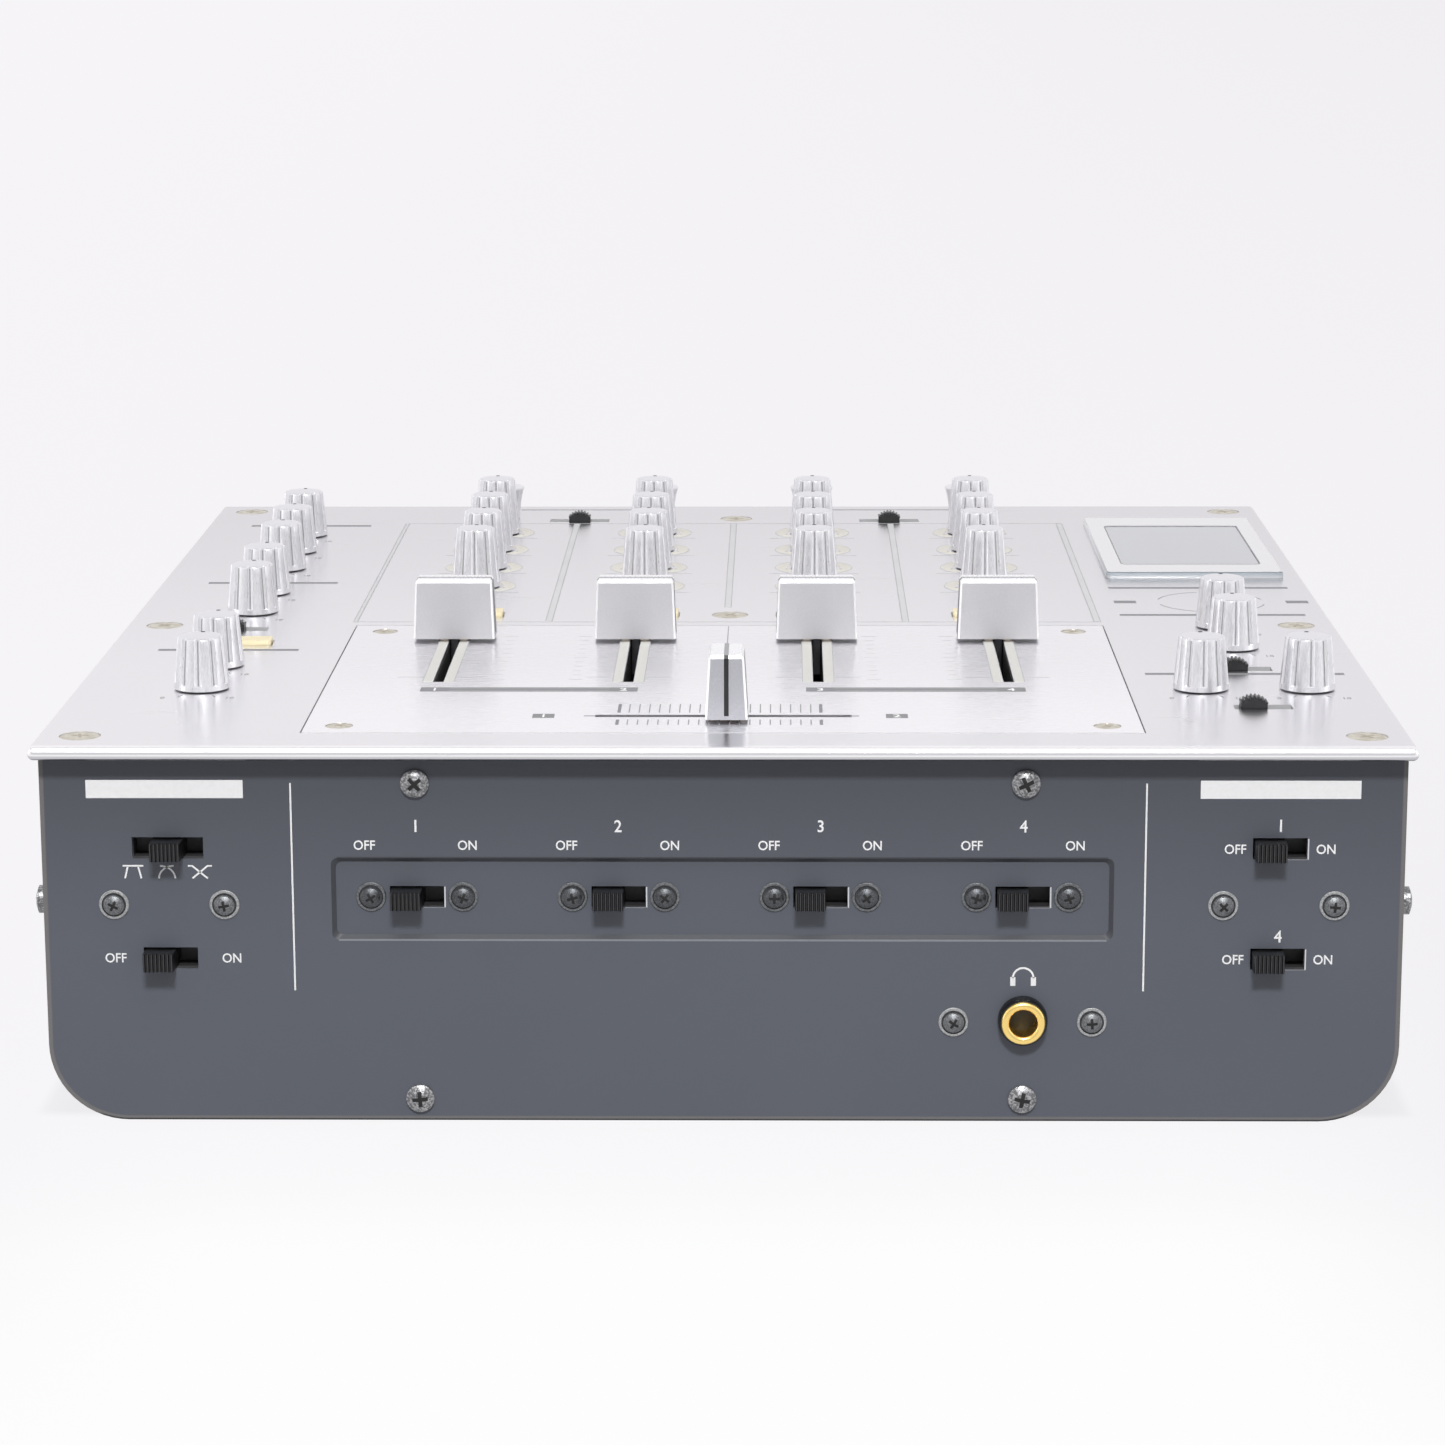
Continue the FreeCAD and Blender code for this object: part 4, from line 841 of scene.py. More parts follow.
def dress_display():
    """Clear window with a white border print, the grey screen sunk in it, and the tray under the panel."""
    low, high = (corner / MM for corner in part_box("display_window"))
    shape = Shape()
    x0, x1 = SCREEN_COLUMNS
    y0, y1 = (FRONT + row for row in SCREEN_ROWS)
    face = high.z
    sides = [(TOP, 0.15), (TOP + 0.3, 0), (face - 0.5, 0), (face - 0.12, 0.42), (face, 0.5)]
    rings = []
    for level, inset in sides:
        rings.append(round_ring(low.x + inset, high.x - inset, low.y + inset, high.y - inset,
                                WINDOW_CORNER - inset, level))
    rings += [round_ring(x0, x1, y0, y1, SCREEN_CORNER, level) for level in (face, face - SCREEN_SINK)]
    count = len(rings[0])
    walls = len(rings) - 1

    def finish_of(i):
        if i == walls * count + 1:
            return WINDOW_SCREEN
        return WINDOW_BORDER if 3 * count <= i < walls * count else WINDOW_EDGE
    shape.skin(rings, finish_of)
    rim = round_ring(x0 - RIM_GAP, x1 + RIM_GAP, y0 - RIM_GAP, y1 + RIM_GAP, RIM_CORNER, face)
    rim = [(x, y) for x, y, _ in rim]
    stroke(shape, lambda x, y, rise: (x, y, face + rise), rim + rim[:2], 0.35, PRINT_LIGHT)
    middle = (low.x + high.x) / 2
    y0, y1 = (FRONT + row for row in TRAY_ROWS)
    tray = [(low.z, 0.4), (low.z + 0.4, 0), (TOP - 0.1, 0)]
    slab(shape, middle - TRAY_HALF, middle + TRAY_HALF, y0, y1, tray, INNER_PARTS, corner=1.0)
    piece("display_glass", shape.mesh("display_glass"), "mixer", ["display_window"])


# Headphone jack and rear sockets

JACK_SIDES = 64
JACK_BEZEL = [(5.85, 0.0), (5.85, 0.7), (5.6, 2.6), (5.35, 3.0), (5.0, 3.0), (4.9, 0.0)]
JACK_BOX = [(-32.5, 0.4), (-32.1, 0), (-2.9, 0), (-2.5, 0.4)]
PHONO_PITCH = 16.0
OUTPUT_COLUMN = -118.0
PHONO_ROWS = ((44, SOCKET_RED), (62, SOCKET_WHITE))
PHONO_SHELL = [(3.9, -9.0), (3.9, 0.0), (5.4, 0.0), (5.4, 0.8), (5.2, 1.0), (4.15, 1.0), (4.15, 9.1),
               (3.9, 9.5), (3.4, 9.5), (3.3, 9.2), (3.3, 3.0), (1.9, 2.8), (1.9, -9.0)]
PHONO_COLLAR = [(3.25, 2.2), (3.25, 8.6), (3.0, 8.8), (1.7, 8.8), (1.6, 8.6), (1.6, 2.2)]
EARTH_COLUMNS = (-9, 9)
EARTH_LEVEL = 26
EARTH_POST = [(2.0, -8.0), (2.0, 0.2), (5.2, 0.2), (5.2, 1.8), (2.0, 2.0), (2.0, 3.0), (4.2, 3.2)]
MILLED_HEAD = [(4.2 - 0.25 * (step % 2), 3.4 + 0.45 * step) for step in range(22)] + [(3.6, 14.4)]
INLET_PLACE = (128.0, 32.0)
# Half width, half height, corner and depth of each outline of the inlet's tub.
INLET_TUB = ((13.85, 10.1, 1.5, -19.6), (13.85, 10.1, 1.5, 0.0), (15.25, 11.5, 2.0, 0.0),
             (15.25, 11.5, 2.0, 1.2), (14.9, 11.1, 1.8, 1.6), (12.25, 8.5, 2.0, 1.6),
             (12.25, 8.5, 2.0, -18.0))
INLET_PINS = ((-7, -2), (7, -2), (0, 2))
INLET_PIN = [(-18.5, 0), (-3.2, 0), (-2.2, 0.6)]


def out_of_front(x, z, sink=0.0):
    """Places lathe work with its axis pointing out of the front panel."""
    return lambda a, b, height: (x + a, FRONT + sink - height, z + b)


def out_of_rear(x, z):
    return lambda a, b, height: (x - a, REAR + height, z + b)


def dress_jack():
    """Glossy bezel, gilt ring round the bore, and the boxed contacts behind the panel."""
    middle = centre("phones_jack")
    put = out_of_front(middle.x, middle.z)
    shape = Shape()
    turned(shape, JACK_BEZEL, GLOSS_BLACK, put, JACK_SIDES, closed=True)
    bends = [math.radians(angle) for angle in range(0, 181, 18)]
    bead = [(4.2 + math.cos(bend), 2.9 + 0.9 * math.sin(bend)) for bend in bends]
    wall = [(4.8, -2.4), (4.8, 0.4), *bead, (3.2, -4.0), (3.25, -30.0), (4.2, -30.0), (4.2, -2.4)]
    gilded = JACK_SIDES * (len(bead) + 2)
    turned(shape, wall, lambda i: GILT if i < gilded else GLOSS_BLACK, put, JACK_SIDES, closed=True)
    slab(shape, -7.5, 7.5, -7.5, 7.5, JACK_BOX, INNER_PARTS, put, corner=0.8)
    piece("headphone_socket", shape.mesh("headphone_socket"), "mixer", ["phones_jack"])


def channel_column(channel):
    return centre(f"ch{channel}_fader").x


def dress_rear():
    """Gilt phono sockets with white and red collars, earth posts with milled heads, and the mains inlet."""
    shape = Shape()
    columns = [channel_column(channel) + side * PHONO_PITCH / 2 for channel in CHANNELS for side in (-1, 1)]
    columns += [OUTPUT_COLUMN - PHONO_PITCH * step for step in (-1, 0, 1)]
    for level, collar in PHONO_ROWS:
        for column in columns:
            put = out_of_rear(column, BASE + level)
            turned(shape, PHONO_SHELL, GILT, put, 32, closed=True)
            turned(shape, PHONO_COLLAR, collar, put, 24, closed=True)
    for column in EARTH_COLUMNS:
        turned(shape, EARTH_POST + MILLED_HEAD, LEVER_STEEL, out_of_rear(column, BASE + EARTH_LEVEL), 32)
    inlet(shape)
    piece("rear_sockets", shape.mesh("rear_sockets"), "mixer", ["rear_connectors"])


def inlet(shape):
    """Mains inlet: a lipped black tub with three flat pins."""
    column, level = INLET_PLACE
    put = out_of_rear(column, BASE + level)
    rings = [round_ring(-a, a, -b, b, corner, depth, put) for a, b, corner, depth in INLET_TUB]
    shape.skin(rings, GLOSS_BLACK)
    for x, y in INLET_PINS:
        slab(shape, x - 1, x + 1, y - 2, y + 2, INLET_PIN, LEVER_STEEL, put, corner=0.3)


# Screws

PLATE_SCREWS = [(side * 149.6, y) for side in (-1, 1) for y in (7.1, 142.1, 325.8)] + [(0, 156.9), (0, 312.9)]
FADER_PLATE_SCREWS = [(side * 90.3, y) for side in (-1, 1) for y in (18.2, 133.8)]
PAN_SCREWS = [(x, level) for x in (-71.1, 70.3) for level in (5.5, 81.5)]
FRONT_COLUMN = -128.9
START_COLUMN = 129.3
SIDE_ROW = 8.0
SIDE_LEVEL = 51.6
RECESS_LEVEL = 54.1
RECESS_SINK = 1.0
# Each head: its radius, the levels of its underside and its rim, and the height of its dome.
PLATE_HEAD = (4.75, -1.15, -0.15, 0.25)
FADER_PLATE_HEAD = (3.15, -1.15, -0.15, 0.25)
PAN_HEAD = (3.3, 0.0, 0.8, 1.2)
SMALL_HEAD = (2.25, 0.55, 1.2, 0.8)
SIDE_HEAD = (3.3, 0.0, 2.3, 0.7)
WASHER_STEPS = [(3.5, 0.0), (3.5, 0.25), (3.35, 0.4), (2.85, 0.4), (2.65, 0.2), (2.4, 0.2), (2.35, 0.6),
                (1.6, 0.6)]
WASHER_SIDES = 48
WASHER_GROOVE = (3, 4, 5)
FIRST_TURN = 11
TURN_STEP = 37


def out_of_top(x, y):
    return lambda a, b, height: on_top(x + a, y + b, height)


def out_of_side(side):
    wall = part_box("case")[1].x / MM
    row, level = FRONT + SIDE_ROW, BASE + SIDE_LEVEL
    return lambda a, b, height: (side * (wall + height), row + side * a, level + b)


def screw(shape, put, head, metal, turn):
    """Cross-head screw: its shank, and a domed head that carries the cross, turned by degrees. The cross is a
    dark stroke on the dome, painted shade for its recess.
    """
    half, low, rim, dome = head

    def crown(radius):
        return rim + dome * (1 - (radius / half) ** 2)
    profile = [(1.5, -7.0), (1.5, low), (half, low), (half, rim)]
    profile += [(half * share, crown(half * share)) for share in (0.985, 0.93, 0.8, 0.6, 0.4, 0.15)]
    turned(shape, profile, metal, put)
    # The cross is drawn as a dark stroke: painted shade where the recess is.
    plated = metal == CHAMPAGNE
    arm = half * (0.42 if plated else 0.56)
    for angle in (turn, turn + 90):
        ax, ay = arm * math.cos(math.radians(angle)), arm * math.sin(math.radians(angle))
        points = [(ax * step / 4, ay * step / 4) for step in range(-4, 5)]
        stroke(shape, lambda a, b, rise: put(a, b, crown(math.hypot(a, b)) + rise), points,
               half * (0.16 if plated else 0.28), CROSS_SHADE_BROWN if plated else CROSS_SHADE_BLACK)


def washer(shape, put, metal):
    """Stepped washer under a small screw head, with painted shade in its groove."""
    def finish_of(i):
        return SHADED_ZINC if i // WASHER_SIDES in WASHER_GROOVE else metal
    turned(shape, WASHER_STEPS, finish_of, put, WASHER_SIDES)


def dress_screws():
    shape = Shape()
    turn = FIRST_TURN
    for head, places in ((PLATE_HEAD, PLATE_SCREWS), (FADER_PLATE_HEAD, FADER_PLATE_SCREWS)):
        for x, y in places:
            screw(shape, out_of_top(x, y), head, CHAMPAGNE, turn)
            turn += TURN_STEP
    for x, level in PAN_SCREWS:
        screw(shape, out_of_front(x, BASE + level), PAN_HEAD, ZINC, turn)
        turn += TURN_STEP
    sets = [(column + side * 12.9, 52.4, 0) for column in (FRONT_COLUMN, START_COLUMN) for side in (-1, 1)]
    sets += [(channel_column(channel) + side * 10.75, RECESS_LEVEL, RECESS_SINK)
             for channel in CHANNELS for side in (-1, 1)]
    sets += [(centre("phones_jack").x + side * 16.15, 24.2, 0) for side in (-1, 1)]
    for x, level, sink in sets:
        put = out_of_front(x, BASE + level, sink)
        # Screws in the recess and their washers take darker zinc: painted shade.
        washer(shape, put, HEAD_ZINC if sink else WASHER_ZINC)
        screw(shape, put, SMALL_HEAD, SHADED_ZINC if sink else HEAD_ZINC, turn)
        turn += TURN_STEP
    for side in (-1, 1):
        screw(shape, out_of_side(side), SIDE_HEAD, ZINC, turn)
    piece("screw_heads", shape.mesh("screw_heads"), "mixer", ["screws"])


# Print

PRINT_LOW = -0.03
PRINT_HIGH = 0.035
SMALL_CAPITALS = 2.3
NUMERALS = 2.9
BOX_NUMERALS = 3.0
ICON_LEVEL = 60.2
ICON_LINE = 0.4


def on_top(x, y, rise):
    return x, FRONT + y, TOP + rise


def on_front(x, z, rise):
    return x, FRONT - rise, BASE + z


def stroke(shape, put, points, width, colour):
    """Printed line of a width along points."""
    rings = []
    for i, (x, y) in enumerate(points):
        ax, ay = points[max(i - 1, 0)]
        bx, by = points[min(i + 1, len(points) - 1)]
        length = math.hypot(bx - ax, by - ay)
        nx, ny = -(by - ay) / length * width / 2, (bx - ax) / length * width / 2
        rings.append([put(x - nx, y - ny, PRINT_LOW), put(x + nx, y + ny, PRINT_LOW),
                      put(x + nx, y + ny, PRINT_HIGH), put(x - nx, y - ny, PRINT_HIGH)])
    shape.skin(rings, colour)


def bar(shape, put, x0, x1, y0, y1, colour):
    """Filled rectangle."""
    stroke(shape, put, [(x0, (y0 + y1) / 2), (x1, (y0 + y1) / 2)], y1 - y0, colour)


def arc(shape, put, x, y, radius, first, last, width, colour):
    """Part of a circle, from first to last degrees."""
    steps = max(3, int(abs(last - first) / 8))
    points = []
    for i in range(steps + 1):
        angle = math.radians(first + (last - first) * i / steps)
        points.append((x + radius * math.cos(angle), y + radius * math.sin(angle)))
    stroke(shape, put, points, width, colour)


def dot(shape, put, x, y, radius, colour):
    turned(shape, [(radius, PRINT_LOW), (radius, PRINT_HIGH)], colour,
           lambda a, b, rise: put(x + a, y + b, rise), sides=16)


def letters(shape, put, words, x, y, tall, colour):
    """Words centred on x and y, with capitals of a height."""
    curve = bpy.data.curves.new("legend", "FONT")
    curve.body = words
    curve.align_x = "CENTER"
    curve.resolution_u = 3
    curve.extrude = 0.1
    curve.offset = 0.012
    carrier = bpy.data.objects.new("legend", curve)
    mesh = bpy.data.meshes.new_from_object(carrier)
    heights = [vertex.co.y for vertex in mesh.vertices]
    scale = tall / (max(heights) - min(heights))
    lift = (max(heights) + min(heights)) / 2
    points = []
    for vertex in mesh.vertices:
        rise = PRINT_HIGH if vertex.co.z > 0 else PRINT_LOW
        points.append(put(x + vertex.co.x * scale * 0.92, y + (vertex.co.y - lift) * scale, rise))
    shape.add(points, [tuple(polygon.vertices) for polygon in mesh.polygons], colour)
    bpy.data.objects.remove(carrier)
    bpy.data.curves.remove(curve)
    bpy.data.meshes.remove(mesh)


def print_top():
    """Rules, scales and ticks on the top panel and the fader panel."""
    shape = Shape()
    put = on_top
    for y in (147.0, 304.0):
        stroke(shape, put, [(-100.1, y), (98.6, y)], 0.3, PRINT_PALE)
    for x, half, start in ((-99.5, 0.5, 147), (-48.1, 0.85, 148), (-0.7, 0.85, 168), (46.7, 0.85, 148),
                           (97.6, 0.85, 147)):
        bar(shape, put, x - half, x + half, start, 303.5, PRINT_SEAM)
        for side in (-half, half):
            stroke(shape, over_print, [(x + side, start), (x + side, 303.5)], 0.25, PRINT_PALE)
    stroke(shape, put, [(-0.2, 141.0), (-0.2, 105.0)], 0.25, PRINT_LIGHT)
    stroke(shape, put, [(-98.4, 10.6), (98.4, 10.6)], 0.5, PRINT_SEAM)
    for y in (300, 204.4, 109):
        bar(shape, put, -146.4, -110.3, y - 1.1, y + 1.1, PRINT_GREY)
    for y in (196.7, 156.9, 78.8):
        bar(shape, put, 104.3, 153.8, y - 1.1, y + 1.1, PRINT_GREY)
    for name in ("rear_left_switch", "rear_right_switch"):
        x = centre(name).x
        bar(shape, put, x - 19, x + 19, 328.9, 330.1, PRINT_LIGHT)
    for name in WIDE_KNOBS:
        knob_scale(shape, centre(name).x, centre(name).y - FRONT)
    for name in TALL_KNOBS:
        band_scale(shape, centre(name).x, centre(name).y - FRONT)
    for channel, marks in zip(CHANNELS, (14.5, -13.2, 13.6, -13.4)):
        fader_scale(shape, channel_column(channel), marks)
    balance_scale(shape)
    for x0, x1, ends in ((-74.7, -21.4, "12"), (19.8, 73.5, "34")):
        bar(shape, put, x0, x1, 57.3, 62.1, PRINT_GREY)
        for x, words in zip((x0 + 3.5, x1 - 3.5), ends):
            letters(shape, over_print, words, x, 59.7, BOX_NUMERALS, PRINT_WHITE)
        for y in (58.3, 61.1):
            stroke(shape, over_print, [(x0 + 7, y), (x1 - 7, y)], 0.3, PRINT_PALE)
    crossfader_scale(shape)
    piece("top_print", shape.mesh("top_print"), "mixer")


def over_print(x, y, rise):
    """A second layer of ink on the first."""
    return on_top(x, y, rise + 0.02)


def crossfader_scale(shape):
    """Ticks on both sides of the crossfader's slot, points at its ends, and a numbered box beyond each."""
    for step in range(21):
        x = -25.0 + step * 2.41
        wide, ink_of = (0.8, PRINT_GREY) if step in (0, 20) else (0.3, PRINT_LIGHT)
        stroke(shape, on_top, [(x, 33.0), (x, 42.5)], wide, ink_of)
        stroke(shape, on_top, [(x, 19.4), (x, 25.0)], wide, ink_of)
    for side, tip in ((-1, -33.2), (1, 32.2)):
        stroke(shape, on_top, [(side * 30.4, 29.2), (tip, 29.2)], 0.7, PRINT_GREY)
    for x, words in ((-42.8, "1"), (41.2, "2")):
        bar(shape, on_top, x - 2.6, x + 2.6, 27.0, 31.4, PRINT_GREY)
        letters(shape, over_print, words, x, 29.2, BOX_NUMERALS, PRINT_WHITE)


def knob_scale(shape, x, y):
    """Ticks and numbers at the two ends of a wide knob's travel."""
    for angle, words in ((-114, "0"), (-66, "10")):
        turn = math.radians(angle)
        points = [(x + r * math.cos(turn), y + r * math.sin(turn)) for r in (9.0, 11.2)]
        stroke(shape, on_top, points, 0.35, PRINT_GREY)
        letters(shape, on_top, words, x + 20 * math.cos(turn), y + 12.2 * math.sin(turn), 1.9, PRINT_LIGHT)


def band_scale(shape, x, y):
    """Pale fields beside a tall knob with a thin edge, a dark dot on each, and a thin rule under them."""
    for side in (-1, 1):
        middle = 0 if side > 0 else 180
        arc(shape, on_top, x, y, 9.2, middle - 50, middle + 50, 3.4, PRINT_CREAM)
        arc(shape, over_print, x, y, 10.9, middle - 50, middle + 50, 0.2, PRINT_FIELD)
        dot(shape, over_print, x + side * 7.7, y - 2.4, 0.4, PRINT_LIGHT)
        stroke(shape, on_top, [(x + side * 6.5, y - 9.4), (x + side * 12.5, y - 9.4)], 0.25, PRINT_PALE)


def fader_scale(shape, x, marks):
    """Pale strips along a fader's slot, a line at their near end, and the level marks to one side."""
    for side in (-1, 1):
        x0, x1 = sorted((x + side * 1.45, x + side * 3.9))
        bar(shape, on_top, x0, x1, 68.8, 129.8, SLOT_STRIP)
        stroke(shape, over_print, [(x + side * 3.9, 68.8), (x + side * 3.9, 129.8)], 0.2, PRINT_PALE)
    stroke(shape, on_top, [(x - 10.5, 74.5), (x - 3.9, 74.5)], 0.3, PRINT_PALE)
    stroke(shape, on_top, [(x + 3.9, 74.5), (x + 10.5, 74.5)], 0.3, PRINT_PALE)
    for step in range(11):
        y = 71.8 + step * 5.5
        half = 1.7 if step % 5 == 0 else 1.1
        stroke(shape, on_top, [(x + marks - half, y), (x + marks + half, y)], 0.3, PRINT_FIELD)


def balance_scale(shape):
    """Ring of arcs between two bars, round the knob under the display."""
    for x in (107.2, 153.9):
        bar(shape, on_top, x - 3, x + 3, 174.0, 177.4, PRINT_GREY)
    for first, last in ((100, 165), (195, 260), (280, 345), (15, 80)):
        arc(shape, on_top, 130.5, 175.7, 14.5, first, last, 0.35, PRINT_LIGHT)


def print_front():
    """Boxes, lines, icons, numbers and switch legends on the front panel."""
    shape = Shape()
    put = on_front
    for x0, x1 in ((-147.5, -111.0), (110.6, 147.6)):
        bar(shape, put, x0, x1, 77.9, 82.2, PRINT_WHITE)
    for x in (-100.0, 98.2):
        stroke(shape, put, [(x, 31.7), (x, 81.5)], 0.4, PRINT_WHITE)
    curve_icons(shape)
    for channel in CHANNELS:
        x = channel_column(channel)
        letters(shape, put, str(channel), x, 71.3, NUMERALS, PRINT_WHITE)
        off_and_on(shape, x - 12, x + 12, 66.7)
    off_and_on(shape, FRONT_COLUMN - 12.9, FRONT_COLUMN + 14.3, 39.5)
    for level, words in ((65.9, "1"), (39.4, "4")):
        letters(shape, put, words, START_COLUMN, level + 5.6, NUMERALS, PRINT_WHITE)
        off_and_on(shape, START_COLUMN - 10.4, START_COLUMN + 10.6, level)
    headphones(shape, centre("phones_jack").x, 34.9)
    slot_edges(shape)
    piece("front_print", shape.mesh("front_print"), "mixer")


def off_and_on(shape, left, right, level):
    """Words at the two ends of a front switch."""
    for x, words in ((left, "OFF"), (right, "ON")):
        letters(shape, on_front, words, x, level, SMALL_CAPITALS, PRINT_WHITE)


def sunk_front(sink):
    return lambda x, z, rise: on_front(x, z, rise - sink)


def slot_edges(shape):
    """Pale strokes at the right hand ends of the switch slots, a painted highlight on the lower lips of the
    slots and the recess, and painted shade along the recess's upper edge.
    """
    # Painted highlight on the recess's lower lip, painted shade along its upper edge.
    stroke(shape, on_front, [(-89.5, 43.9), (89.5, 43.9)], 0.45, LIP_HIGHLIGHT)
    stroke(shape, on_front, [(-89.5, 63.75), (89.5, 63.75)], 0.3, LIP_SHADE)
    places = [(channel_column(channel), RECESS_LEVEL, RECESS_SINK) for channel in CHANNELS]
    places += [(START_COLUMN, 66.0, 0), (START_COLUMN, 39.5, 0)]
    for x, level, sink in places:
        put = sunk_front(sink)
        right, low = x + 6.5, level - 2.6
        # A pale stroke up the slot's right hand edge.
        stroke(shape, put, [(right, low), (right, level + 2.4)], 0.32, PALE_SLOT_EDGE)
        # Painted highlight on the slot's lower lip.
        stroke(shape, put, [(x + 1.5, low), (right, low)], 0.2, LIP_HIGHLIGHT)


def curve_icons(shape):
    """Three ways for the sound to cross over: a table shape, two crossing arcs and a cross with leads."""
    table = [[(-2.4, 1.5), (2.4, 1.5)], [(-1.2, 1.4), (-1.9, -1.5)], [(1.2, 1.4), (1.9, -1.5)]]
    cross = [[(-2.8, 1.5), (-1.8, 1.5), (1.8, -1.5)], [(2.8, 1.5), (1.8, 1.5), (-1.8, -1.5)]]
    bends = [math.radians(angle) for angle in range(0, 91, 10)]
    arcs = [[(side * (1.9 - 3.5 * (1 - math.cos(bend))), -1.5 + 3.0 * math.sin(bend)) for bend in bends]
            for side in (-1, 1)]
    for x, lines in ((-137.1, table), (-121.5, cross), (-129.2, arcs)):
        for points in lines:
            stroke(shape, on_front, [(x + a, ICON_LEVEL + b) for a, b in points], ICON_LINE, PRINT_WHITE)


def headphones(shape, x, z):
    """Headphone symbol: a band with two pads."""
    arc(shape, on_front, x, z, 2.4, 0, 180, 0.45, PRINT_WHITE)
    for side in (-1, 1):
        bar(shape, on_front, x + side * 2.4 - 0.6, x + side * 2.4 + 0.6, z - 1.9, z + 0.2, PRINT_WHITE)


# Finishes of the CAD nodes

BUTTON_ROUND = 0.6


def soften(node, width):
    """Small round on the sharp edges of a moulded piece."""
    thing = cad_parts[node]
    weld = thing.modifiers.new("one_skin", "WELD")
    weld.merge_threshold = 0.01 * MM
    edge = thing.modifiers.new("soft_edges", "BEVEL")
    edge.width = width * MM
    edge.segments = 2
    edge.limit_method = "ANGLE"
    edge.angle_limit = math.radians(50)


def dress_nodes():
    finishes = {"top_panel": TOP_PLATE, "fader_panel": FADER_PLATE, "front_panel": CASE_PAINT,
                "case": CASE_PAINT, "feet": FOOT_RUBBER, "electronics": INNER_PARTS,
                "push_buttons": BUTTON_CREAM}
    for node, material in finishes.items():
        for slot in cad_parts[node].material_slots:
            slot.material = material
    soften("push_buttons", BUTTON_ROUND)


# Studio

FLOOR_SIZE = 24.0
FLOOR_GLOW = 0.97
SHADOW_LOSS = 0.1
WORLD_LIGHT = 0.3
CEILING_LOSS = 0.98
CAMERA_PLACE = (13.856, -1095.9, 302.3)
CAMERA_TURN = (-0.845, 12.332, -0.155)
CAMERA_LENS = 102.46
CAMERA_SENSOR = 36


def seen(tree):
    """1 for what the camera, a reflection or clear plastic shows, 0 for light on surfaces."""
    path = tree.nodes.new("ShaderNodeLightPath")
    kinds = ("Is Camera Ray", "Is Glossy Ray", "Is Transmission Ray")
    camera, glossy, clear = (Wire(tree, path.outputs[kind]) for kind in kinds)
    return camera.math("MINIMUM", camera + glossy + clear, 1.0)


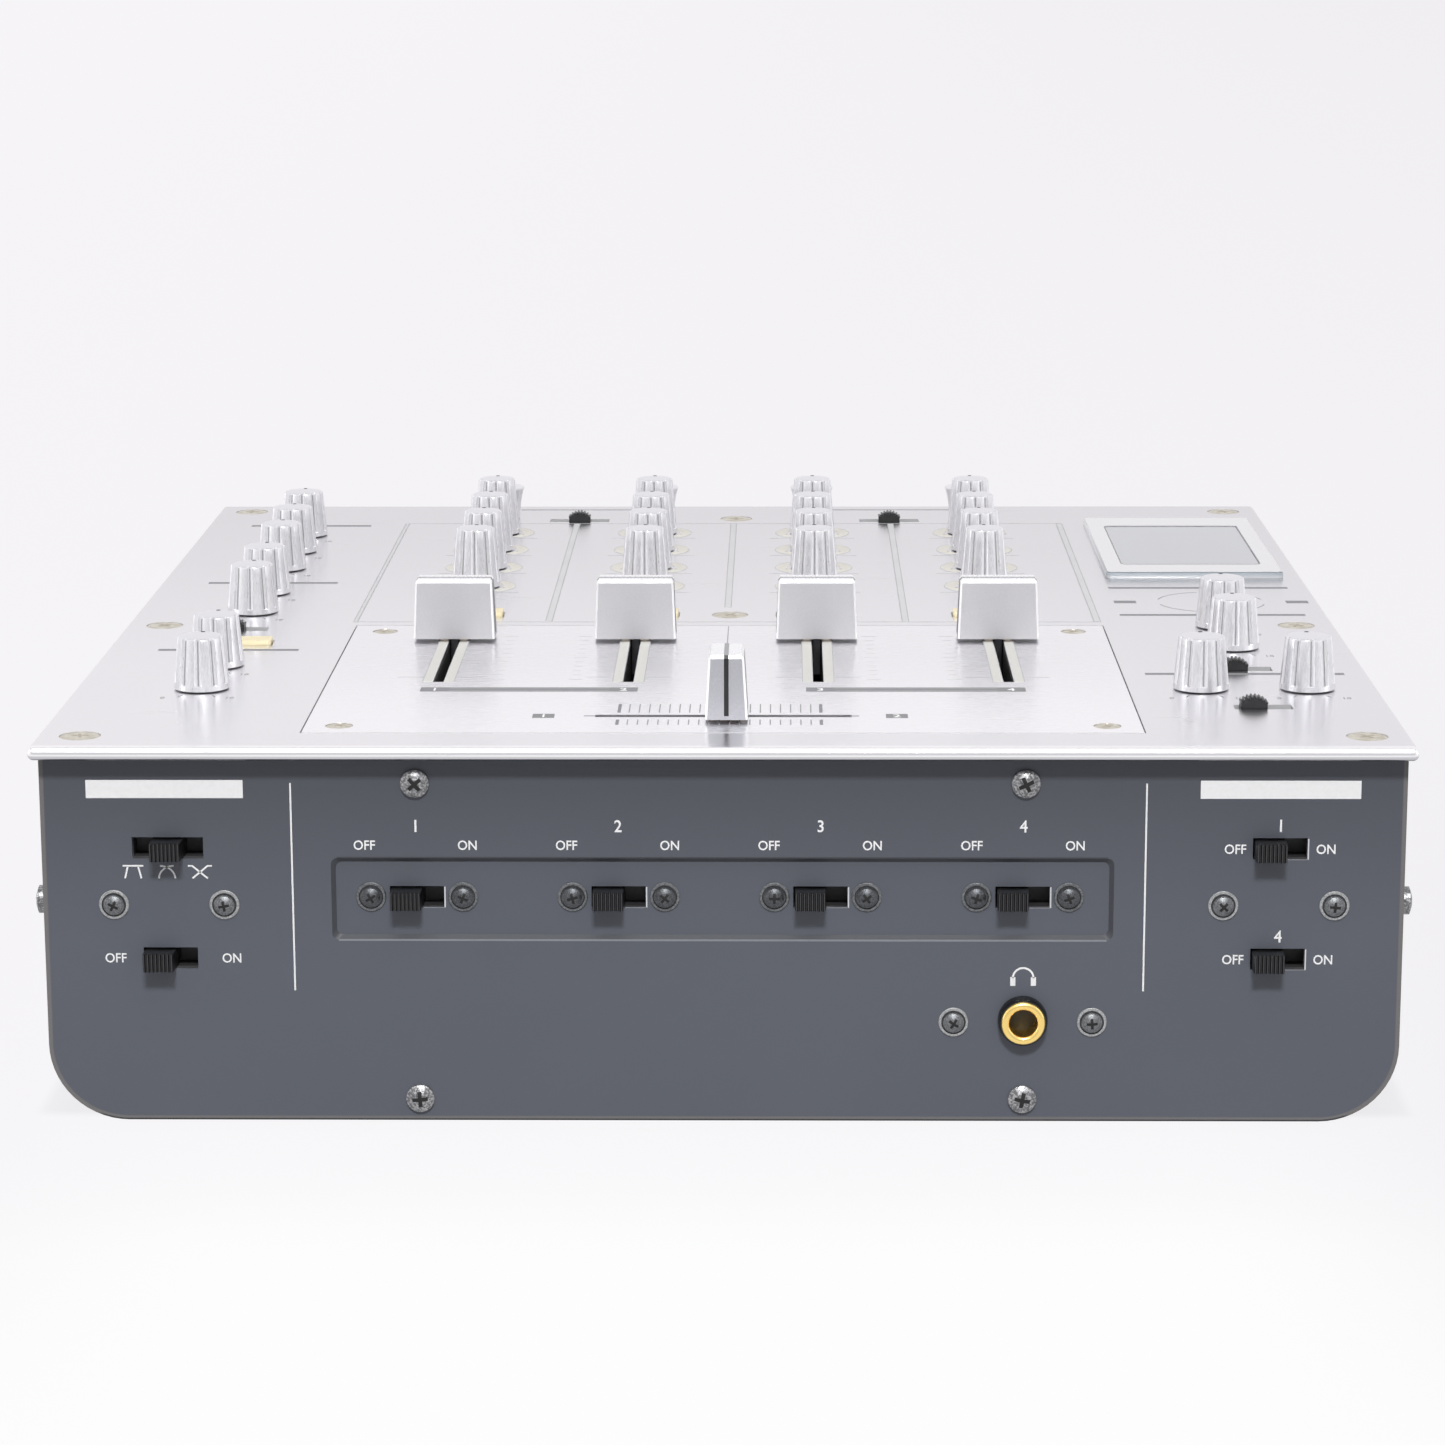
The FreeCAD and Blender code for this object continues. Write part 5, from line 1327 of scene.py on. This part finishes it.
def make_floor():
    """Pale floor that shows nearly white and still takes the mixer's shadow, with painted shadow near, beside
    and under the mixer.
    """
    mesh = bpy.data.meshes.new("floor")
    half = FLOOR_SIZE / 2
    corners = [(-half, -half, 0), (half, -half, 0), (half, half, 0), (-half, half, 0)]
    mesh.from_pydata(corners, [], [(0, 1, 2, 3)])
    floor = bpy.data.objects.new("floor", mesh)
    bpy.context.scene.collection.objects.link(floor)
    material = bpy.data.materials.new("studio_floor")
    material.use_nodes = True
    tree = material.node_tree
    tree.nodes.remove(tree.nodes["Principled BSDF"])
    output = Wire(tree, tree.nodes["Material Output"].inputs["Surface"])
    place = Wire(tree, tree.nodes.new("ShaderNodeTexCoord").outputs["Object"])
    row = axis(place, "Y")
    column = axis(place, "X")
    far = clamp(row, -0.2, 0.7)
    # Painted shadow: the floor a little darker just in front of the mixer.
    near = mix(clamp(row, -0.26, -0.175), (1, 1, 1, 1), tint(250, 249, 251))
    # Far floor greyer to the right: painted falloff of light.
    tone = mix(far, near, mix(clamp(column, -1.0, 1.2), tint(249, 247, 250), tint(243, 241, 244)))
    # Painted shadow beside the mixer, greyer to the right.
    beside = clamp(abs(column), 0.1, 0.24) * clamp(row, -0.45, -0.2) * (1 - far)
    tone = mix(beside, tone, mix(clamp(column, -0.2, 0.2), tint(247, 245, 248), tint(241, 239, 242)))
    aside = clamp(abs(column) + row * 0.7, -0.2, 0.4)
    tone = mix(clamp(row, -0.4, -0.75) * (1 - aside), tone, tint(205, 205, 208))
    glow = place.node("ShaderNodeEmission", {}, {"Color": tone, "Strength": 1.0})
    matt = place.node("ShaderNodeBsdfDiffuse", {}, {"Color": tint(160, 160, 162)})
    # Painted shadow under the mixer: less glow there, so the floor is darker and shows more of its real
    # shadow.
    shadow = clamp(abs(column), 0.1665, 0.162) * clamp(row, -0.157, -0.15) * clamp(row, 0.18, 0.165)
    share = seen(tree) * (FLOOR_GLOW - shadow * SHADOW_LOSS)
    both = place.node("ShaderNodeMixShader", {}, {0: share, 1: matt, 2: glow})
    tree.links.new(both.socket, output.socket)
    mesh.materials.append(material)
    floor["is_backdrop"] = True


def make_world():
    """White surroundings, dark round the lamp overhead, greyer behind the camera, and weaker as a light."""
    world = bpy.data.worlds.new("studio")
    bpy.context.scene.world = world
    world.use_nodes = True
    tree = world.node_tree
    background = tree.nodes["Background"]
    way = Wire(tree, tree.nodes.new("ShaderNodeTexCoord").outputs["Generated"])
    behind = clamp(axis(way, "Y"), -0.6, -0.9)
    lift = clamp(axis(way, "Z"), 0.0, 0.5)
    tone = mix(behind * (1 - lift * 0.6), tint(249, 247, 250), tint(202, 202, 205))
    tree.links.new(tone.socket, background.inputs["Color"])
    ceiling = clamp(axis(way, "Z"), 0.75, 0.9) * clamp(axis(way, "Y"), -0.4, -0.1)
    strength = seen(tree) * (1 - WORLD_LIGHT - ceiling * CEILING_LOSS) + WORLD_LIGHT
    tree.links.new(strength.socket, background.inputs["Strength"])


def make_lamp(name, place, aim, size, power):
    data = bpy.data.lights.new(name, "AREA")
    data.shape = "RECTANGLE"
    data.size, data.size_y = size
    data.energy = power
    lamp = bpy.data.objects.new(name, data)
    bpy.context.scene.collection.objects.link(lamp)
    lamp.location = place
    lamp.rotation_euler = (Vector(aim) - Vector(place)).to_track_quat("-Z", "Y").to_euler()


def make_camera():
    """Long lens a metre in front of the mixer, looking down on it by twelve degrees."""
    yaw, pitch, roll = (math.radians(angle) for angle in CAMERA_TURN)
    ahead = Vector((math.sin(yaw) * math.cos(pitch), math.cos(yaw) * math.cos(pitch), -math.sin(pitch)))
    right = Vector((math.cos(yaw), -math.sin(yaw), 0))
    up = right.cross(ahead)
    across = math.cos(roll) * right + math.sin(roll) * up
    upright = math.cos(roll) * up - math.sin(roll) * right
    turn = Matrix((across, upright, -ahead)).transposed()
    data = bpy.data.cameras.new("camera")
    data.lens = CAMERA_LENS
    data.sensor_width = CAMERA_SENSOR
    camera = bpy.data.objects.new("camera", data)
    camera.matrix_world = Matrix.Translation(Vector(CAMERA_PLACE) * MM) @ turn.to_4x4()
    bpy.context.scene.collection.objects.link(camera)
    bpy.context.scene.camera = camera


dress_nodes()
dress_knobs()
dress_selectors()
dress_faders()
dress_switches()
dress_display()
dress_jack()
dress_rear()
dress_screws()
print_top()
print_front()
make_floor()
make_world()
make_lamp("overhead_softbox", (0, -0.2, 2.0), (0, 0, 0), (2.2, 2.2), 16)
make_lamp("front_softbox", (0.05, -2.0, 2.0), (0, -0.1, 0.05), (0.5, 0.3), 50)
make_lamp("left_strip", (-1.3, -0.35, 0.55), (0, -0.05, 0.1), (0.35, 1.0), 1.8)
make_lamp("right_strip", (1.3, -0.35, 0.55), (0, -0.05, 0.1), (0.35, 1.0), 1.4)
make_camera()
bpy.context.scene.view_settings.view_transform = "Standard"

boxes = {"cad": cad_box, "visual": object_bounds()}
{name: [list(corner) for corner in box] for name, box in boxes.items()}
